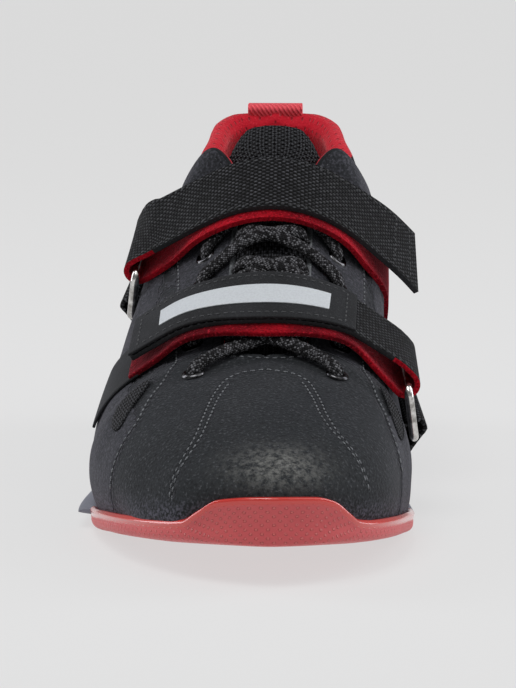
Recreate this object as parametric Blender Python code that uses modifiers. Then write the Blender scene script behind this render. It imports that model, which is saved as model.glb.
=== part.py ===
"""A right-foot weightlifting shoe with two instep straps, as an assembly of separate solids.

Metres, +Z up. The toe points to -Y, the big-toe side is +X, and the origin is on the ground
under the middle of the heel. Every piece is placed on one wall function: a fan of curves that
run from the sole's edge up to the collar, the throat or the middle line of the vamp.
"""

import math
from functools import lru_cache

import bmesh
import bpy
import numpy as np
from mathutils import Matrix, Vector

# Driving sizes of the shoe
sole_length = 0.300
ball_width = 0.110
heel_seat = 0.045
heel_stack = 0.036
forefoot_stack = 0.0070
toe_spring = 0.0122
instep_height = 0.116
collar_width = 0.073
rim = 0.0024

# Walls and clearances
clearance = 0.0003
wall = 0.0024
collar_padding = 0.0066
outsole_plate = 0.004
edge_bevel = 0.0023
bumper_height = 0.0090
bumper_thickness = 0.0028
insole_thickness = 0.0035
midsole_flare = 0.0040
groove_depth = 0.0012
groove_width = 0.0025
groove_pitch = 0.011

# Tongue
tongue_thickness = 0.005
tongue_half_width = 0.029
tongue_tip_rise = 0.021
tongue_root_from_toe = 0.2633 * sole_length
tongue_bend_from_toe = 0.5867 * sole_length
tongue_gap = 0.0007
tongue_spread = 0.34

# Lacing
eyelet_pairs = 6
eyelet_pitch = 0.0525 * sole_length
first_eyelet_from_toe = 0.295 * sole_length
eyelet_from_edge = 0.0112
eyelet_hole = 0.0026
eyelet_barrel = 0.0021
eyelet_bore = 0.0015
eyelet_flange = 0.0038
eyelet_flange_thickness = 0.0006
lace_radius = 0.0021

# Straps, their rings and the webbing that holds the rings
instep_strap_width = 0.0265
vamp_strap_width = 0.0245
strap_thickness = 0.0018
strap_gap = 0.0005
fold_radius = 0.0039
ring_wire = 0.0015
ring_inner_width = 0.0290
ring_reach = 0.0165
ring_corner = 0.0030
tab_width = 0.022
tab_length = 0.014
tab_thickness = 0.0014
ring_play = 0.0011
patch_thickness = 0.0010
patch_width = 0.0250
patch_from_middle = 0.026

# Pull loop at the heel
loop_width = 0.020
loop_thickness = 0.0014
loop_rise = 0.0048
loop_drop = 0.022
loop_bulge = 0.0045

LATERAL, MEDIAL = -1, 1
COLUMNS = 35
WALL_ROWS = 8

# One row for each wall curve, from the middle of the heel to the middle of the toe.
# at: where it starts, as a share of the sole's length from the back
# lateral, medial: the sole's edge to either side, as shares of the ball's width
# top_at: where it ends, as a share of the sole's length
# opening: half the collar's or throat's width there, as a share of the collar's width
# height: of its top, as a share of the instep's height
# rise: how far up the wall keeps its first direction, as a share of its height
# out_lateral, out_medial: how far out of the sole's edge that direction leads, in ball widths
# reach, lean: how far its last direction reaches down, and its angle from level, in degrees
WALL_COLUMNS = (
    "at", "lateral", "medial", "top_at", "opening", "height",
    "rise", "out_lateral", "out_medial", "reach", "lean",
)
WALL_TABLE = (
    (0.000, 0.000, 0.000, 0.036, 0.000, 0.992, 0.40, 0.020, 0.020, 0.36, 84),
    (0.018, 0.160, 0.168, 0.046, 0.200, 0.990, 0.40, 0.020, 0.020, 0.36, 84),
    (0.065, 0.276, 0.292, 0.080, 0.300, 0.972, 0.40, 0.016, 0.016, 0.36, 82),
    (0.150, 0.332, 0.350, 0.143, 0.350, 0.930, 0.40, 0.012, 0.012, 0.36, 80),
    (0.250, 0.344, 0.352, 0.215, 0.412, 0.860, 0.40, 0.012, 0.012, 0.36, 82),
    (0.350, 0.358, 0.340, 0.290, 0.468, 0.798, 0.38, 0.012, 0.012, 0.36, 82),
    (0.430, 0.386, 0.334, 0.345, 0.430, 0.876, 0.36, 0.014, 0.012, 0.38, 70),
    (0.490, 0.420, 0.350, 0.383, 0.290, 0.994, 0.36, 0.022, 0.014, 0.38, 54),
    (0.535, 0.448, 0.372, 0.405, 0.188, 0.925, 0.38, 0.034, 0.016, 0.38, 42),
    (0.575, 0.470, 0.398, 0.460, 0.175, 0.812, 0.39, 0.050, 0.018, 0.38, 36),
    (0.620, 0.488, 0.430, 0.540, 0.175, 0.700, 0.40, 0.068, 0.020, 0.38, 29),
    (0.665, 0.495, 0.452, 0.618, 0.182, 0.592, 0.44, 0.074, 0.022, 0.39, 22),
    (0.710, 0.487, 0.463, 0.668, 0.190, 0.522, 0.52, 0.070, 0.022, 0.42, 16),
    (0.755, 0.466, 0.462, 0.691, 0.150, 0.505, 0.60, 0.062, 0.022, 0.46, 9),
    (0.800, 0.433, 0.448, 0.700, 0.000, 0.496, 0.64, 0.056, 0.024, 0.50, 4),
    (0.865, 0.366, 0.414, 0.768, 0.000, 0.461, 0.66, 0.040, 0.026, 0.50, 7),
    (0.925, 0.268, 0.346, 0.838, 0.000, 0.424, 0.68, 0.030, 0.026, 0.48, 10),
    (0.965, 0.164, 0.262, 0.885, 0.000, 0.393, 0.68, 0.026, 0.026, 0.46, 15),
    (0.990, 0.050, 0.168, 0.905, 0.000, 0.377, 0.68, 0.026, 0.026, 0.46, 17),
    (1.000, -0.061, 0.061, 0.912, 0.000, 0.371, 0.68, 0.026, 0.026, 0.46, 18),
)

# One row for each place along the sole: pitch is the share of the heel's extra height that is
# left there, spring how far the sole is off the ground, at the arch and the toe, as a share of
# the toe spring, and middle the middle line, in ball widths.
SOLE_COLUMNS = ("at", "pitch", "spring", "middle")
SOLE_TABLE = (
    (0.00, 1.00, 0.00, 0.000),
    (0.10, 1.00, 0.00, 0.010),
    (0.26, 0.90, 0.00, 0.021),
    (0.40, 0.60, 0.13, 0.027),
    (0.54, 0.25, 0.00, 0.028),
    (0.62, 0.08, 0.00, 0.025),
    (0.69, 0.00, 0.02, 0.026),
    (0.80, 0.00, 0.38, 0.037),
    (0.90, 0.00, 0.72, 0.051),
    (1.00, 0.00, 1.00, 0.061),
)

# The red outsole climbs the sides in front of this place, at either side of the ball.
cup_from = 0.700
# The toe bumper: place on the outline (0 heel, 1 toe) and the share of its height there on the
# outer side and the inner side.
BUMPER_COLUMNS = ("place", "lateral", "medial")
BUMPER_TABLE = (
    (0.000, 0.00, 0.00),
    (0.872, 0.00, 0.00),
    (0.897, 0.00, 0.06),
    (0.915, 0.04, 0.36),
    (0.935, 0.42, 0.78),
    (0.955, 0.84, 0.95),
    (1.000, 1.00, 1.00),
)
# The tread's cross grooves: how far behind the middle of the heel each zone starts, and how many.
TREAD_ZONES = ((0.0155, 4), (-0.1195, 9))
# The wall's thickness from the throat's base (0) round the collar: place, share of the padding.
PADDING_TABLE = ((0.00, 1.0), (0.33, 1.0), (0.44, 0.55), (0.50, 0.12), (0.56, 0.0), (1.0, 0.0))


def column(table, names, name):
    return np.array([row[names.index(name)] for row in table], float)


def flowing(knots, values, at, flat_ends=False):
    """A smooth curve through a table's values that never swings past them."""
    step = np.diff(knots)
    secant = np.diff(values) / step
    slope = np.zeros(len(knots))
    for i in range(1, len(knots) - 1):
        if secant[i - 1] * secant[i] > 0:
            before, after = 2 * step[i] + step[i - 1], step[i] + 2 * step[i - 1]
            slope[i] = (before + after) / (before / secant[i - 1] + after / secant[i])
    if not flat_ends:
        slope[0], slope[-1] = secant[0], secant[-1]
    at = np.clip(at, knots[0], knots[-1])
    i = np.clip(np.searchsorted(knots, at, side="right") - 1, 0, len(step) - 1)
    s = (at - knots[i]) / step[i]
    return (
        (1 + 2 * s) * (1 - s) ** 2 * values[i]
        + s * (1 - s) ** 2 * step[i] * slope[i]
        + s * s * (3 - 2 * s) * values[i + 1]
        + s * s * (s - 1) * step[i] * slope[i + 1]
    )


def closed_spline(knots, points, period):
    """The second derivatives at each knot of a closed, twice smooth curve through the points."""
    count = len(knots)
    step = np.diff(np.append(knots, knots[0] + period))
    system, right = np.zeros((count, count)), np.zeros(points.shape)
    for i in range(count):
        before, after = step[i - 1], step[i]
        system[i, i - 1] += before
        system[i, i] += 2 * (before + after)
        system[i, (i + 1) % count] += after
        rise = (points[(i + 1) % count] - points[i]) / after
        right[i] = 6 * (rise - (points[i] - points[i - 1]) / before)
    return step, np.linalg.solve(system, right)


AT = column(WALL_TABLE, WALL_COLUMNS, "at") * sole_length


def sole_row(name, y):
    """A column of the sole's table at a distance y in front of the heel's middle."""
    share = (heel_seat - y) / sole_length
    knots = column(SOLE_TABLE, SOLE_COLUMNS, "at")
    return float(flowing(knots, column(SOLE_TABLE, SOLE_COLUMNS, name), share, flat_ends=True))


def ground(y):
    return toe_spring * sole_row("spring", y)


def sole_top(y):
    return ground(y) + forefoot_stack + (heel_stack - forefoot_stack) * sole_row("pitch", y)


def outline_rows(side):
    name = "lateral" if side == LATERAL else "medial"
    x = side * column(WALL_TABLE, WALL_COLUMNS, name) * ball_width
    return np.column_stack([x, heel_seat - AT])


def place_knots():
    """Each row's place from heel (0) to toe (1), by the outline's mean length of both sides."""
    lengths = [np.linalg.norm(np.diff(outline_rows(s), axis=0), axis=1) for s in (LATERAL, MEDIAL)]
    along = np.concatenate([[0], np.cumsum((lengths[0] + lengths[1]) / 2)])
    return along / along[-1]


KNOTS = place_knots()
LOOP_KNOTS = np.concatenate([KNOTS, 2 - KNOTS[-2:0:-1]])
LOOP_POINTS = np.concatenate([outline_rows(LATERAL), outline_rows(MEDIAL)[-2:0:-1]])
LOOP_STEP, LOOP_CURVATURE = closed_spline(LOOP_KNOTS, LOOP_POINTS, 2.0)


def outline(place, side):
    """The sole's edge in plan at a place from heel (0) to toe (1), with its outward normal."""
    along = place if side == LATERAL else 2 - place

    def point(where):
        where = where % 2.0
        i = int(np.searchsorted(LOOP_KNOTS, where, side="right")) - 1
        j = (i + 1) % len(LOOP_KNOTS)
        h = LOOP_STEP[i]
        b = (where - LOOP_KNOTS[i]) / h
        a = 1 - b
        bend = (a**3 - a) * LOOP_CURVATURE[i] + (b**3 - b) * LOOP_CURVATURE[j]
        return a * LOOP_POINTS[i] + b * LOOP_POINTS[j] + bend * h * h / 6

    tangent = point(along + 0.002) - point(along - 0.002)
    tangent /= np.linalg.norm(tangent)
    return point(along), np.array([tangent[1], -tangent[0]])


def wall_row(name, place):
    odd = name == "opening"
    values = column(WALL_TABLE, WALL_COLUMNS, name)
    return float(flowing(KNOTS, values, place, flat_ends=not odd))


@lru_cache(maxsize=4096)
def wall_controls(place, side):
    """The four control points of the wall's curve, from the sole to the top."""
    edge, out = outline(place, side)
    foot = edge - out * rim
    foot = np.array([foot[0], foot[1], sole_top(foot[1]) + clearance])
    y = heel_seat - wall_row("top_at", place) * sole_length
    x = sole_row("middle", y) * ball_width + side * wall_row("opening", place) * collar_width
    top = np.array([x, y, wall_row("height", place) * instep_height])
    out = np.array([out[0], out[1], 0.0])
    up = np.array([0.0, 0.0, 1.0])
    length = np.linalg.norm(top - foot)
    belly = wall_row("out_lateral" if side == LATERAL else "out_medial", place)
    low = foot + out * (rim + belly * ball_width)
    low = low + up * wall_row("rise", place) * (top[2] - foot[2])
    lean = math.radians(wall_row("lean", place))
    down = out * math.cos(lean) - up * math.sin(lean)
    return np.array([foot, low, top + down * wall_row("reach", place) * length, top])


def bezier(points, share):
    share = np.atleast_1d(share)[:, None]
    rest = 1 - share
    return (
        rest**3 * points[0]
        + 3 * rest * rest * share * points[1]
        + 3 * rest * share * share * points[2]
        + share**3 * points[3]
    )


SECTION_SHARES = np.linspace(0, 1, 26)
SECTIONS = 500


@lru_cache(maxsize=SECTIONS + 1)
def section(number):
    """The whole curve over the foot at one of many places, bridged over the throat, and each
    point's distance from its middle, negative to the lateral side."""
    place = number / SECTIONS
    walls = {side: wall_controls(place, side) for side in (LATERAL, MEDIAL)}
    tops = {side: controls[3] for side, controls in walls.items()}
    gap = np.linalg.norm(tops[MEDIAL] - tops[LATERAL])
    bridge = [tops[LATERAL], None, None, tops[MEDIAL]]
    for i, side in ((1, LATERAL), (2, MEDIAL)):
        direction = walls[side][3] - walls[side][2]
        direction = direction / max(np.linalg.norm(direction), 1e-9)
        bridge[i] = tops[side] + direction * gap * 0.34
    middle = bezier(np.array(bridge), SECTION_SHARES)
    left, right = (bezier(walls[side], SECTION_SHARES) for side in (LATERAL, MEDIAL))
    points = np.concatenate([left, middle[1:-1], right[::-1]])
    arc = np.concatenate([[0], np.cumsum(np.linalg.norm(np.diff(points, axis=0), axis=1))])
    return points, arc - np.interp(len(SECTION_SHARES) * 1.5 - 1.5, np.arange(len(arc)), arc)


def over_foot(place, across):
    """A point over the foot, between the two nearest sections."""
    number = min(SECTIONS - 1, max(0, int(place * SECTIONS)))
    share = place * SECTIONS - number
    found = []
    for points, arc in (section(number), section(number + 1)):
        i = min(len(arc) - 2, max(0, int(np.searchsorted(arc, across)) - 1))
        part = min(1.0, max(0.0, (across - arc[i]) / (arc[i + 1] - arc[i])))
        found.append(points[i] + (points[i + 1] - points[i]) * part)
    return found[0] + (found[1] - found[0]) * share


def skin(place, across):
    """A point of the outer skin with its unit directions: across the foot, along it and out."""
    step, span = 0.006, 0.0015
    a = over_foot(place, across + span) - over_foot(place, across - span)
    t = over_foot(place + step, across) - over_foot(place - step, across)
    out = np.cross(t, a)
    a, t, out = (v / np.linalg.norm(v) for v in (a, t, out))
    return over_foot(place, across), a, t, out


def lifted(place, across, lift):
    point, _, _, out = skin(place, across)
    return point + out * lift


def place_of_top(share):
    """The place whose wall curve ends at this share of the sole's length, in the throat."""
    low, high = 0.30, 0.99
    for _ in range(30):
        middle = (low + high) / 2
        low, high = (middle, high) if wall_row("top_at", middle) < share else (low, middle)
    return (low + high) / 2


def ridge_place(from_toe):
    return place_of_top(1 - from_toe / sole_length)


def throat_half(place):
    """The distance over the skin from the middle line to the throat's edge."""
    _, arc = section(round(place * SECTIONS))
    return float(arc[-len(SECTION_SHARES)])


CUP = float(np.interp(cup_from * sole_length, AT, KNOTS))
PLACES = sorted([*np.linspace(0, 1, COLUMNS), CUP - 0.0060, CUP - 0.0015, CUP, CUP + 0.0045])
SPAN = len(PLACES) - 1


def clear_scene():
    for old in list(bpy.data.objects):
        bpy.data.objects.remove(old)


def collection(name, hidden=False):
    made = bpy.data.collections.new(name)
    made.hide_render = hidden
    bpy.context.scene.collection.children.link(made)
    return made


def material(name, colour, roughness, metallic=0.0):
    made = bpy.data.materials.new(name)
    made.use_nodes = True
    shader = made.node_tree.nodes["Principled BSDF"]
    shader.inputs["Base Color"].default_value = (*colour, 1.0)
    shader.inputs["Roughness"].default_value = roughness
    shader.inputs["Metallic"].default_value = metallic
    return made


def add_object(name, mesh, finish, group):
    made = bpy.data.objects.new(name, mesh)
    made.data.materials.append(finish)
    group.objects.link(made)
    return made


def grid_into(body, columns, rows, position):
    """Adds a grid of faces to the bmesh, with each corner moved to position(column, row)."""
    grid = bmesh.ops.create_grid(body, x_segments=columns, y_segments=rows, size=0.5)["verts"]
    for corner in grid:
        place = position(round((corner.co.x + 0.5) * columns), round((corner.co.y + 0.5) * rows))
        corner.co = Vector(place)


def mesh_of(name, body, weld=2e-6, smooth=40):
    """The bmesh as a mesh, with its doubled corners merged and its faces pointing out."""
    bmesh.ops.remove_doubles(body, verts=body.verts, dist=weld)
    bmesh.ops.dissolve_degenerate(body, dist=weld, edges=body.edges)
    bmesh.ops.recalc_face_normals(body, faces=body.faces)
    mesh = bpy.data.meshes.new(name)
    body.to_mesh(mesh)
    body.free()
    mesh.shade_smooth()
    mesh.set_sharp_from_angle(angle=math.radians(smooth))
    return mesh


def around(i):
    """The place and side of the i-th column round the whole outline."""
    return (PLACES[i], LATERAL) if i <= SPAN else (PLACES[2 * SPAN - i], MEDIAL)


def ringed_solid(name, rings, finish, group):
    """A solid lofted through rings round the shoe, closed by faces from side to side."""
    body = bmesh.new()
    grid_into(body, 2 * SPAN, len(rings) - 1, lambda i, j: rings[j](*around(i)))
    for ring in (rings[0], rings[-1]):
        grid_into(body, SPAN, 1, lambda i, j, r=ring: r(PLACES[i], MEDIAL if j else LATERAL))
    bmesh.ops.remove_doubles(body, verts=body.verts, dist=2e-6)
    bmesh.ops.triangulate(body, faces=body.faces)
    return add_object(name, mesh_of(name, body), finish, group)


def sheet_object(name, columns, rows, position, thickness, finish, group, offset=0.0):
    """An open sheet given its thickness."""
    body = bmesh.new()
    grid_into(body, columns, rows, position)
    made = add_object(name, mesh_of(name, body), finish, group)
    solid = made.modifiers.new("Thickness", "SOLIDIFY")
    solid.thickness = thickness
    solid.offset = offset
    solid.use_even_offset = True
    return made


def applied(made, name=None):
    """The object with its modifiers or curve made into a plain mesh."""
    bpy.context.view_layer.update()
    graph = bpy.context.evaluated_depsgraph_get()
    mesh = bpy.data.meshes.new_from_object(made.evaluated_get(graph))
    body = bmesh.new()
    body.from_mesh(mesh)
    body.transform(made.matrix_world)
    bmesh.ops.remove_doubles(body, verts=body.verts, dist=2e-6)
    body.to_mesh(mesh)
    body.free()
    name, group = name or made.name, made.users_collection[0]
    finish = made.data.materials[0]
    bpy.data.objects.remove(made)
    plain = bpy.data.objects.new(name, mesh)
    if not mesh.materials:
        mesh.materials.append(finish)
    mesh.shade_smooth()
    mesh.set_sharp_from_angle(angle=math.radians(40))
    group.objects.link(plain)
    return plain


def combined(made, other, operation):
    """Joins the other object to the first, or cuts it away."""
    change = made.modifiers.new(operation.title(), "BOOLEAN")
    change.operation = operation
    change.solver = "EXACT"
    change.object = other
    return change


def tube(name, points, radius, finish, group, closed=False):
    curve = bpy.data.curves.new(name, "CURVE")
    curve.dimensions = "3D"
    curve.bevel_depth = radius
    curve.bevel_resolution = 2
    curve.use_fill_caps = not closed
    line = curve.splines.new("POLY")
    line.points.add(len(points) - 1)
    for corner, point in zip(line.points, points):
        corner.co = (*point, 1.0)
    line.use_cyclic_u = closed
    return add_object(name, curve, finish, group)


def cup_front(place):
    """1 where the outsole's cup climbs the side, 0 behind it."""
    return 1.0 if place > CUP + 0.002 else 0.0


def core_front(place):
    """1 where the midsole is drawn in behind the cup, 0 where it shows."""
    return 1.0 if place > CUP - 0.004 else 0.0


def ring_point(place, side, inset, height):
    """A point inset from the sole's edge, at a height over the ground line and sole top."""
    edge, out = outline(place, side)
    x, y = edge - out * inset
    return Vector((x, y, height(y)))


def bumper(place, side):
    knots = column(BUMPER_TABLE, BUMPER_COLUMNS, "place")
    shares = column(BUMPER_TABLE, BUMPER_COLUMNS, "lateral" if side == LATERAL else "medial")
    return float(flowing(knots, shares, place, flat_ends=True))


def cup_lip(place, side, inner, share=1.0):
    """The top edge of the outsole's side: a low rim at the forefoot, a high bumper at the toe."""
    if not cup_front(place):
        inset = rim - clearance if inner else 0.0006
        return ring_point(place, side, inset, lambda y: ground(y) + outsole_plate)
    lift = bumper_height * bumper(place, side)
    controls = wall_controls(place, side)
    curve = bezier(controls, SECTION_SHARES)
    level = controls[0][2] + lift * share
    inside = np.array([np.interp(level, curve[:, 2], curve[:, k]) for k in range(3)])
    _, out = outline(place, side)
    out = np.array([out[0], out[1], 0.0])
    inside = inside + out * clearance * 2
    if inner:
        return Vector(inside)
    rounded = inside + out * (rim - clearance + (bumper_thickness - rim) * bumper(place, side))
    rounded[2] -= 0.0008
    return Vector(rounded)


def cup_waist(place, side):
    """The widest line of the outsole's side, under the lip."""
    if not cup_front(place):
        return ring_point(place, side, 0.0002, lambda y: ground(y) + outsole_plate - 0.0006)
    lift = 0.30 * bumper_height * bumper(place, side)
    return ring_point(place, side, 0.0, lambda y: sole_top(y) - 0.0018 + lift)


def cup_floor(place, side, low):
    """The cup's inner wall, at the midsole's top or down on the plate."""
    if cup_front(place) and not low:
        return ring_point(place, side, rim - clearance, lambda y: sole_top(y) + clearance)
    return ring_point(place, side, rim - clearance, lambda y: ground(y) + outsole_plate)


def make_outsole(finish, group, cutters):
    rings = [
        lambda p, s: ring_point(p, s, 0.0070, ground),
        lambda p, s: ring_point(p, s, 0.0022, lambda y: ground(y) + 0.35 * edge_bevel),
        lambda p, s: ring_point(p, s, 0.0003, lambda y: ground(y) + edge_bevel),
        cup_waist,
        lambda p, s: cup_lip(p, s, inner=False),
        lambda p, s: cup_lip(p, s, inner=True),
        lambda p, s: cup_lip(p, s, inner=True, share=0.5),
        lambda p, s: cup_floor(p, s, low=False),
        lambda p, s: cup_floor(p, s, low=True),
    ]
    made = ringed_solid("outsole", rings, finish, group)
    body = bmesh.new()
    for zone, count in TREAD_ZONES:
        for k in range(count):
            bar = bmesh.ops.create_cube(body, size=1.0)["verts"]
            size = Matrix.Diagonal((ball_width * 1.4, groove_width, 2 * groove_depth, 1.0))
            bmesh.ops.transform(body, matrix=size, verts=bar)
            y = zone - k * groove_pitch
            bmesh.ops.translate(body, vec=Vector((0, y, ground(y))), verts=bar)
    mesh = bpy.data.meshes.new("tread_grooves")
    body.to_mesh(mesh)
    body.free()
    grooves = add_object("tread_grooves", mesh, finish, cutters)
    grooves.hide_render = True
    grooves.display_type = "WIRE"
    combined(made, grooves, "DIFFERENCE")
    return made


def make_midsole(finish, group):
    """The grey wedge under the foot: it shows behind the ball, and is drawn in in front of it."""

    def inset(place, bare):
        front = core_front(place)
        return (1 - front) * bare + front * rim

    def flare(place, side):
        """How far the wedge's side stands out: most at the outer ball, less elsewhere."""
        near_ball = math.exp(-(((place - CUP) / 0.12) ** 2))
        return midsole_flare * (0.35 + (0.65 if side == LATERAL else -0.15) * near_ball)

    def low(y):
        return ground(y) + outsole_plate + clearance

    def part_way(share):
        return lambda y: low(y) + share * (sole_top(y) - low(y))

    rings = [
        lambda p, s: ring_point(p, s, inset(p, 0.0008), low),
        lambda p, s: ring_point(p, s, inset(p, -flare(p, s)), part_way(0.34)),
        lambda p, s: ring_point(p, s, inset(p, 0.0004 - 0.8 * flare(p, s)), part_way(0.66)),
        lambda p, s: ring_point(p, s, inset(p, 0.0020 - 0.3 * flare(p, s)), part_way(1.0)),
    ]
    return ringed_solid("midsole", rings, finish, group)


def make_insole(finish, group):
    inset = rim + wall + 0.0012

    def level(rise):
        return lambda y: sole_top(y) + clearance + rise

    rings = [
        lambda p, s: ring_point(p, s, inset + 0.0012, level(0.0)),
        lambda p, s: ring_point(p, s, inset, level(0.0012)),
        lambda p, s: ring_point(p, s, inset, level(insole_thickness - 0.0010)),
        lambda p, s: ring_point(p, s, inset + 0.0015, level(insole_thickness)),
    ]
    return ringed_solid("insole", rings, finish, group)


def make_upper(finish, group, cutters):
    """The upper: one wall, open at the collar, the throat and underneath, with padding at the
    collar and a hole for each eyelet."""
    body = bmesh.new()
    shares = np.linspace(0, 1, WALL_ROWS + 1)

    def position(i, j):
        return bezier(wall_controls(*around(i)), shares[j])[0]

    grid_into(body, 2 * SPAN, WALL_ROWS, position)
    made = add_object("upper", mesh_of("upper", body), finish, group)
    padding = made.vertex_groups.new(name="padding")
    tops = [(around(i)[0], Vector(position(i, j)), shares[j])
            for i in range(2 * SPAN) for j in range(WALL_ROWS + 1)]
    knots, values = (np.array(v, float) for v in zip(*PADDING_TABLE))
    for place, point, share in tops:
        near = flowing(knots, values, place) * max(0.0, (share - 0.45) / 0.55)
        nearest = min(made.data.vertices, key=lambda v: (v.co - point).length_squared)
        padding.add([nearest.index], float(near), "REPLACE")
    solid = made.modifiers.new("Wall", "SOLIDIFY")
    solid.thickness = collar_padding
    solid.offset = -1.0
    solid.use_even_offset = True
    solid.vertex_group = "padding"
    solid.thickness_vertex_group = wall / collar_padding
    for number, (place, across, side) in enumerate(eyelet_places()):
        point, _, _, out = skin(place, across)
        drill = bmesh.new()
        length = 4 * collar_padding
        bmesh.ops.create_cone(
            drill, cap_ends=True, segments=12, radius1=eyelet_hole, radius2=eyelet_hole, depth=length
        )
        drill.transform(facing(point, out))
        mesh = bpy.data.meshes.new(f"eyelet_drill_{number}")
        drill.to_mesh(mesh)
        drill.free()
        cutter = add_object(f"eyelet_drill_{number}", mesh, finish, cutters)
        cutter.hide_render = True
        cutter.display_type = "WIRE"
        combined(made, cutter, "DIFFERENCE")
    return made


def facing(point, out):
    """The matrix that stands a piece on a point, with its Z along out."""
    turn = Vector(out).to_track_quat("Z", "Y").to_matrix().to_4x4()
    return Matrix.Translation(Vector(point)) @ turn


@lru_cache(maxsize=1)
def eyelet_places():
    """The place, across-value and side of each eyelet, in pairs from the toe up."""
    found = []
    for k in range(eyelet_pairs):
        place = ridge_place(first_eyelet_from_toe + k * eyelet_pitch)
        edge = max(throat_half(place), throat_half(ridge_place(first_eyelet_from_toe + eyelet_pitch)))
        for side in (LATERAL, MEDIAL):
            found.append((place, side * (edge + eyelet_from_edge), side))
    return found


def make_eyelets(finish, group):
    """Each eyelet is turned: a barrel through the wall and a flange on the skin."""
    under = clearance + 0.0002
    for number, (place, across, side) in enumerate(eyelet_places()):
        profile = (
            (eyelet_bore, -wall),
            (eyelet_barrel, -wall),
            (eyelet_barrel, under),
            (eyelet_flange, under),
            (eyelet_bore + 0.0004, under + eyelet_flange_thickness),
        )
        body = bmesh.new()
        corners = [body.verts.new((r, 0, z)) for r, z in profile]
        edges = [body.edges.new((a, b)) for a, b in zip(corners, corners[1:] + corners[:1])]
        bmesh.ops.spin(
            body, geom=corners + edges, axis=(0, 0, 1), cent=(0, 0, 0),
            angle=2 * math.pi, steps=8, use_merge=True,
        )
        point, _, _, out = skin(place, across)
        body.transform(facing(point, out))
        name = f"eyelet_{'lateral' if side == LATERAL else 'medial'}_{number // 2 + 1}"
        add_object(name, mesh_of(name, body), finish, group)


def make_tongue(finish, group):
    """The padded tongue: under the throat's edges, then on up above the collar's front."""
    under = -(wall + tongue_gap + tongue_thickness / 2)
    start, last = ridge_place(tongue_root_from_toe), ridge_place(tongue_bend_from_toe)
    rows_under, rows_above, columns = 11, 4, 8
    half = tongue_half_width
    low, high = over_foot(last + 0.02, 0.0), over_foot(last, 0.0)
    up = (high - low) / np.linalg.norm(high - low)
    up = up + np.array([0.0, -0.10, 0.25])
    up = up / np.linalg.norm(up)

    def position(i, j):
        across = half * (2 * i / columns - 1)
        if j <= rows_under:
            place = start + (last - start) * j / rows_under
            narrow = 0.74 + 0.26 * min(1.0, j / 4)
            return lifted(place, across * narrow, under)
        share = (j - rows_under) / rows_above
        narrow = math.sqrt(max(0.0, 1 - (share * 0.90) ** 2)) * (1 - 0.30 * min(1.0, share / 0.4))
        point = lifted(last, across * narrow, under) + up * tongue_tip_rise * share
        spread = tongue_spread * min(1.0, max(0.0, (share - 0.25) / 0.35))
        point[0] += (point[0] - high[0]) * spread
        return point

    rows = rows_under + rows_above
    return sheet_object("tongue", columns, rows, position, tongue_thickness, finish, group)


def lace_points(pair, side):
    """One lace: out of its eyelet, over the middle, and down to the throat's far edge."""
    place, start, _ = eyelet_places()[2 * pair + (0 if side == LATERAL else 1)]
    far = ridge_place(first_eyelet_from_toe + (pair + 0.9) * eyelet_pitch)
    begin = abs(start) - eyelet_flange - lace_radius - 0.0004
    end = throat_half(far) - lace_radius - 0.0006
    points = []
    for q in np.linspace(0, 1, 8):
        across = side * (begin - (begin + end) * q)
        sunk = max(0.0, (q - 0.72) / 0.28) ** 2
        lift = lace_radius + 0.0008 - 0.0026 * sunk
        points.append(lifted(place + (far - place) * q, across, lift))
    return points


def make_laces(finish, group):
    """Each crossing of the lace is one solid: two tubes joined where they meet."""
    for pair in range(eyelet_pairs - 1):
        name = f"lace_crossing_{pair + 1}"
        first, second = (
            applied(tube(f"{name}_{side}", lace_points(pair, side), lace_radius, finish, group))
            for side in (LATERAL, MEDIAL)
        )
        combined(first, second, "UNION")
        applied(first, name)
        bpy.data.objects.remove(second)


# Each strap crosses the middle line at from_toe, a share of the sole's length, and runs square
# to its slope, in degrees. ring_side: the side its ring is on. Then come distances over the skin
# from the middle line, as shares of the ball's width: to the ring's bar, to the free end (with
# how far that stands off) and to the anchor, with its width as a share of the strap's.
STRAP_COLUMNS = (
    "name", "from_toe", "slope", "width", "ring_side", "ring_at",
    "end_at", "end_lift", "anchor_at", "anchor_width",
)
STRAP_TABLE = (
    ("instep_strap", 0.5417, 36, instep_strap_width, LATERAL, 0.4455, 0.4636, 0.068, 0.782, 1.057),
    ("vamp_strap", 0.3540, 27, vamp_strap_width, MEDIAL, 0.4273, 0.3909, 0.018, 0.600, 1.245),
)
STRAP_SHARES_OF = {
    "from_toe": sole_length, "ring_at": ball_width, "end_at": ball_width,
    "end_lift": ball_width, "anchor_at": ball_width,
}
over_laces = 2 * lace_radius + 0.0012 + strap_thickness / 2
over_skin = 0.0011 + strap_thickness / 2
strap_slip = 0.0009


def strap_fact(number, name):
    value = STRAP_TABLE[number][STRAP_COLUMNS.index(name)]
    return value * STRAP_SHARES_OF[name] if name in STRAP_SHARES_OF else value


@lru_cache(maxsize=64)
def band_line(number, sideways):
    """A line over the skin in a plane square to the strap's slope: the distance from the middle
    line, place and across-value of each of its points. Sideways is the plane's distance from
    the strap's middle, toward the heel."""
    slope = math.radians(strap_fact(number, "slope"))
    direction = np.array([0.0, math.cos(slope), math.sin(slope)])
    middle = ridge_place(strap_fact(number, "from_toe"))
    level = over_foot(middle, 0.0) @ direction + sideways
    halves = []
    for side in (LATERAL, MEDIAL):
        rows, place, travelled, before = [], middle, 0.0, None
        for step in range(40):
            across = side * step * 0.003
            for _ in range(6):
                error = over_foot(place, across) @ direction - level
                slide = (over_foot(place + 0.003, across) - over_foot(place, across)) / 0.003
                place = min(0.98, max(0.02, place - error / min(slide @ direction, -0.05)))
            point = over_foot(place, across)
            travelled += 0.0 if before is None else float(np.linalg.norm(point - before))
            before = point
            rows.append((side * travelled, place, across))
        halves.append(rows)
    return np.array(halves[0][:0:-1] + halves[1])


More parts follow.
